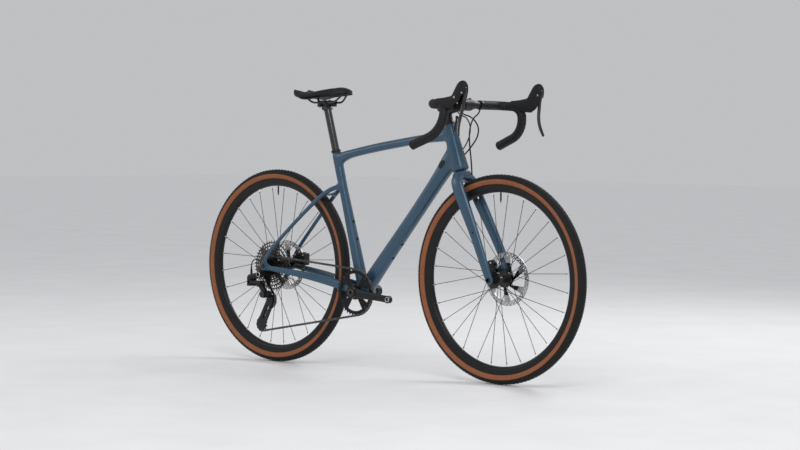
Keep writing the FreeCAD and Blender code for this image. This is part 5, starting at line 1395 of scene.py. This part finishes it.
class BIKE_OT_drive_trim(bpy.types.Operator):
    """Caps and pins of the rear derailleur, and the lock rings of the rotors"""

    bl_idname = "bike.drive_trim"
    bl_label = "Drive trim"

    def execute(self, context):
        turned_piece("hanger_bolt", "frame", "steel", REAR + mm(-7.2, -93.6, -30), -ACROSS, [
            (0, 9.6), (1.4, 9.6), (1.9, 9.1), (1.9, 6.6), (0.9, 6.4), (0.9, 3.4, 6), (-2.0, 3.2, 6)])
        turned_piece("cage_pivot_cap", "derailleur_cage_pivot", "dark_steel",
                     REAR + mm(9.8, -91.6, -102), -ACROSS, [
                         (0, 11.6), (0.8, 11.6), (1.4, 10.8), (1.4, 4.4), (0.7, 4.2), (0.7, 2.2, 6),
                         (-1.6, 2.1, 6)])
        wheels = bmesh.new()
        for name in ("guide_wheel_spin", "tension_wheel_spin"):
            place = pivot(name)
            place.y = CAGE_FACE * MM
            socket_bolt(wheels, place, -ACROSS, 4.4, 2.0)
        finished(wheels, "jockey_bolts", "derailleur_cage", "dark_steel")
        for body, joint in (("derailleur_outer_link", "derailleur_shift"),
                            ("derailleur_inner_link", "derailleur_inner_link_swing")):
            pins = bmesh.new()
            for ahead in (0, LINK_LENGTH):
                for way in (UP, -UP):
                    turned(pins, pivot(joint) + mm(ahead, 0, 0) + way * (LINK_HALF * MM), way,
                           [(0, 2.6), (0.5, 2.6), (0.9, 2.0), (1.0, 0.8)])
            finished(pins, body + "_pins", body, "steel")
        for name, axle, y in (("front_wheel", FRONT, 43.2), ("rear_wheel", REAR, 53.2)):
            turned_piece(name + "_lock_ring", name, "dark_steel", axle + leftward(y), ACROSS,
                         [(0, 20.5), (1.4, 20.5), (2.0, 19.8), (2.0, 15.8), (0.2, 15.4)])
        return {"FINISHED"}


class BIKE_OT_brake_trim(bpy.types.Operator):
    """Piston caps, bridge bolts, bleed screws and hose unions of the calipers"""

    bl_idname = "bike.brake_trim"
    bl_label = "Brake trim"

    def execute(self, context):
        front = Matrix.Translation(steer_point(-362, 0, 28)) @ FORK_LEAN
        rear = Matrix.Translation(REAR)
        for name, body, matrix, low, high in (
                ("front", "steering", front, (-24, 0, 0), (12, 27, 44)),
                ("rear", "frame", rear, (45.8, 35, 3), (99.8, 65, 47))):
            metal = bmesh.new()
            bright = bmesh.new()
            middle = (Vector(low) + Vector(high)) / 2
            wide = (high[0] - low[0]) / 2
            for side, face in ((1, high[1]), (-1, low[1])):
                turned(metal, mm(middle.x, face - side * 0.6, middle.z - 3), ACROSS * side, [
                    (0, 13.5), (1.2, 13.5), (1.9, 12.8), (1.9, 9.2), (1.2, 8.8), (1.2, 2.0)])
                for step in (-1, 1):
                    place = mm(middle.x + step * (wide - 7.5), face - side * 0.6, high[2] - 7.5)
                    socket_bolt(bright, place, ACROSS * side, 3.6, 2.4)
                ridge = sorted((middle.y + side * 5.5, middle.y + side * 12))
                block(metal, (middle.x - 12, ridge[0], high[2] - 1),
                      (middle.x + 12, ridge[1], high[2] + 2.2))
            turned(bright, mm(middle.x + 4, middle.y - 9, high[2] + 2), UP,
                   [(0, 2.2), (1.6, 2.2), (2.0, 1.6)])
            turned(metal, mm(low[0] + 1, middle.y - 5, high[2] - 12), -AHEAD, [
                (0, 4.6, 6), (5, 4.6, 6), (5.4, 3.6), (12, 3.4), (12.6, 2.6)])
            for bm in (metal, bright):
                bmesh.ops.transform(bm, matrix=matrix, verts=bm.verts)
            finished(metal, name + "_caliper_trim", body, "anodised")
            finished(bright, name + "_caliper_bolts", body, "steel")
        return {"FINISHED"}


class BIKE_OT_frame_trim(bpy.types.Operator):
    """Dark strips painted as the shade in the slits of the dropouts, and screws of the port covers"""

    bl_idname = "bike.frame_trim"
    bl_label = "Frame trim"

    def execute(self, context):
        # Painted shade: thin black strips raised on the dropouts stand in for the shade inside their slits; no gap
        # is cut.
        slit_shade_strips = bmesh.new()
        lean = Matrix.Rotation(math.radians(46), 4, "Y")
        for sign in (1, -1):
            for shift in (0.0, 7.0):
                block(slit_shade_strips, (-17, -0.5, -0.8), (17, 0.5, 0.8), lean,
                      REAR + mm(8 + shift, sign * 80.0, 3 + shift), rounding=0.3)
        finished(slit_shade_strips, "dropout_slit_shade", "frame", "plastic")
        screws = bmesh.new()
        for sign in (1, -1):
            place = PORT + mm(0, sign * 23.8, 0) - DOWN_WAY * (4 * MM)
            socket_bolt(screws, place, ACROSS * sign, 2.6, 1.2)
        finished(screws, "port_screws", "frame", "dark_steel")
        return {"FINISHED"}


# Stage


FLOOR_HALF = 30.0
SKY_COLOUR = (0.97, 0.98, 1.0, 1.0)
SKY_LIGHT = 0.66
SKY_SEEN = 0.54

# Lamps: name, place, size and power
LAMPS = (
    ("key", (2.6, -2.8, 3.4), (2.4, 1.2), 66.0),
    ("fill", (-3.2, -2.2, 2.0), (2.2, 1.2), 16.0),
    ("edge", (0.6, 3.0, 2.8), (2.6, 0.8), 46.0),
)
LAMP_AIM = Vector((0, 0, 0.5))
CAMERA_PLACE = (4.79687, -5.43953, 0.80484)
CAMERA_TURN = math.radians(40.971)
CAMERA_TILT = math.radians(2.281)
CAMERA_ROLL = math.radians(0.546)
CAMERA_LENS = 93.70


def make_floor():
    """Pale floor."""
    bm = bmesh.new()
    bmesh.ops.create_grid(bm, x_segments=1, y_segments=1, size=FLOOR_HALF)
    mesh = bpy.data.meshes.new("floor")
    bm.to_mesh(mesh)
    bm.free()
    floor = linked("floor", mesh)
    material, tree, shader, spot = blank("studio_floor")
    tone = paint().floor
    stops = [(0.3, shade(tone, 0.97)), (0.7, shade(tone, 1.03))]
    link(tree, ramp(tree, noise(tree, spot, 3.0), stops), shader, "Base Color")
    shader.inputs["Roughness"].default_value = 0.7
    mesh.materials.append(material)


def make_light():
    """Even light all round, less bright where it is seen or mirrored, and soft lamps."""
    world = bpy.data.worlds.new("studio")
    bpy.context.scene.world = world
    world.use_nodes = True
    tree = world.node_tree
    back = tree.nodes["Background"]
    back.inputs["Color"].default_value = SKY_COLOUR
    path = add(tree, "ShaderNodeLightPath").outputs
    seen = maths(tree, "MAXIMUM", path["Is Camera Ray"],
                 maths(tree, "MAXIMUM", path["Is Glossy Ray"], path["Is Transmission Ray"]))
    link(tree, span(tree, seen, 0.0, 1.0, SKY_LIGHT, SKY_SEEN), back, "Strength")
    for name, place, area, power in LAMPS:
        light = bpy.data.lights.new(name, "AREA")
        light.shape = "RECTANGLE"
        light.size = area[0]
        light.size_y = area[1]
        light.energy = power
        lamp = linked(name, light)
        lamp.location = place
        lamp.rotation_euler = (LAMP_AIM - Vector(place)).to_track_quat("-Z", "Y").to_euler()


def make_camera():
    """Camera at the photograph's angle."""
    data = bpy.data.cameras.new("camera")
    data.sensor_width = 36.0
    data.lens = CAMERA_LENS
    data.clip_end = 100.0
    backward = Vector((math.sin(CAMERA_TURN) * math.cos(CAMERA_TILT),
                       -math.cos(CAMERA_TURN) * math.cos(CAMERA_TILT), math.sin(CAMERA_TILT)))
    right = Vector((math.cos(CAMERA_TURN), math.sin(CAMERA_TURN), 0.0))
    upward = backward.cross(right)
    rolled = right * math.cos(CAMERA_ROLL) + upward * math.sin(CAMERA_ROLL)
    upward = upward * math.cos(CAMERA_ROLL) - right * math.sin(CAMERA_ROLL)
    matrix = Matrix((rolled, upward, backward)).transposed().to_4x4()
    matrix.translation = CAMERA_PLACE
    camera = linked("camera", data)
    camera.matrix_world = matrix
    bpy.context.scene.camera = camera


class BIKE_OT_stage(bpy.types.Operator):
    """Pale floor, soft studio light, and the camera"""

    bl_idname = "bike.stage"
    bl_label = "Stage"

    def execute(self, context):
        make_floor()
        make_light()
        make_camera()
        context.scene.view_settings.view_transform = "Standard"
        return {"FINISHED"}


class BIKE_PT_panel(bpy.types.Panel):
    """Sizes, colours and pieces of the bike"""

    bl_label = "Gravel bike"
    bl_idname = "BIKE_PT_panel"
    bl_space_type = "VIEW_3D"
    bl_region_type = "UI"
    bl_category = "Bike"

    def draw(self, context):
        layout = self.layout
        for group in (context.scene.bike_paint, context.scene.bike_sizes):
            for name in group.__annotations__:
                layout.prop(group, name)
        for operator in OPERATORS:
            layout.operator(operator.bl_idname)


OPERATORS = (
    BIKE_OT_finishes, BIKE_OT_frame_skin, BIKE_OT_fork_skin, BIKE_OT_tyres, BIKE_OT_tape, BIKE_OT_hoods,
    BIKE_OT_hoses, BIKE_OT_saddle, BIKE_OT_bosses, BIKE_OT_bolts, BIKE_OT_chain, BIKE_OT_drive_trim,
    BIKE_OT_brake_trim, BIKE_OT_frame_trim, BIKE_OT_stage,
)
CLASSES = (BikePaint, BikeSizes, *OPERATORS, BIKE_PT_panel)


def register():
    for cls in CLASSES:
        bpy.utils.register_class(cls)
    bpy.types.Scene.bike_paint = bpy.props.PointerProperty(type=BikePaint)
    bpy.types.Scene.bike_sizes = bpy.props.PointerProperty(type=BikeSizes)


def unregister():
    del bpy.types.Scene.bike_paint
    del bpy.types.Scene.bike_sizes
    for cls in reversed(CLASSES):
        bpy.utils.unregister_class(cls)


def main():
    register()
    for operator in OPERATORS:
        group, name = operator.bl_idname.split(".")
        getattr(getattr(bpy.ops, group), name)()


if __name__ == "__main__":
    main()
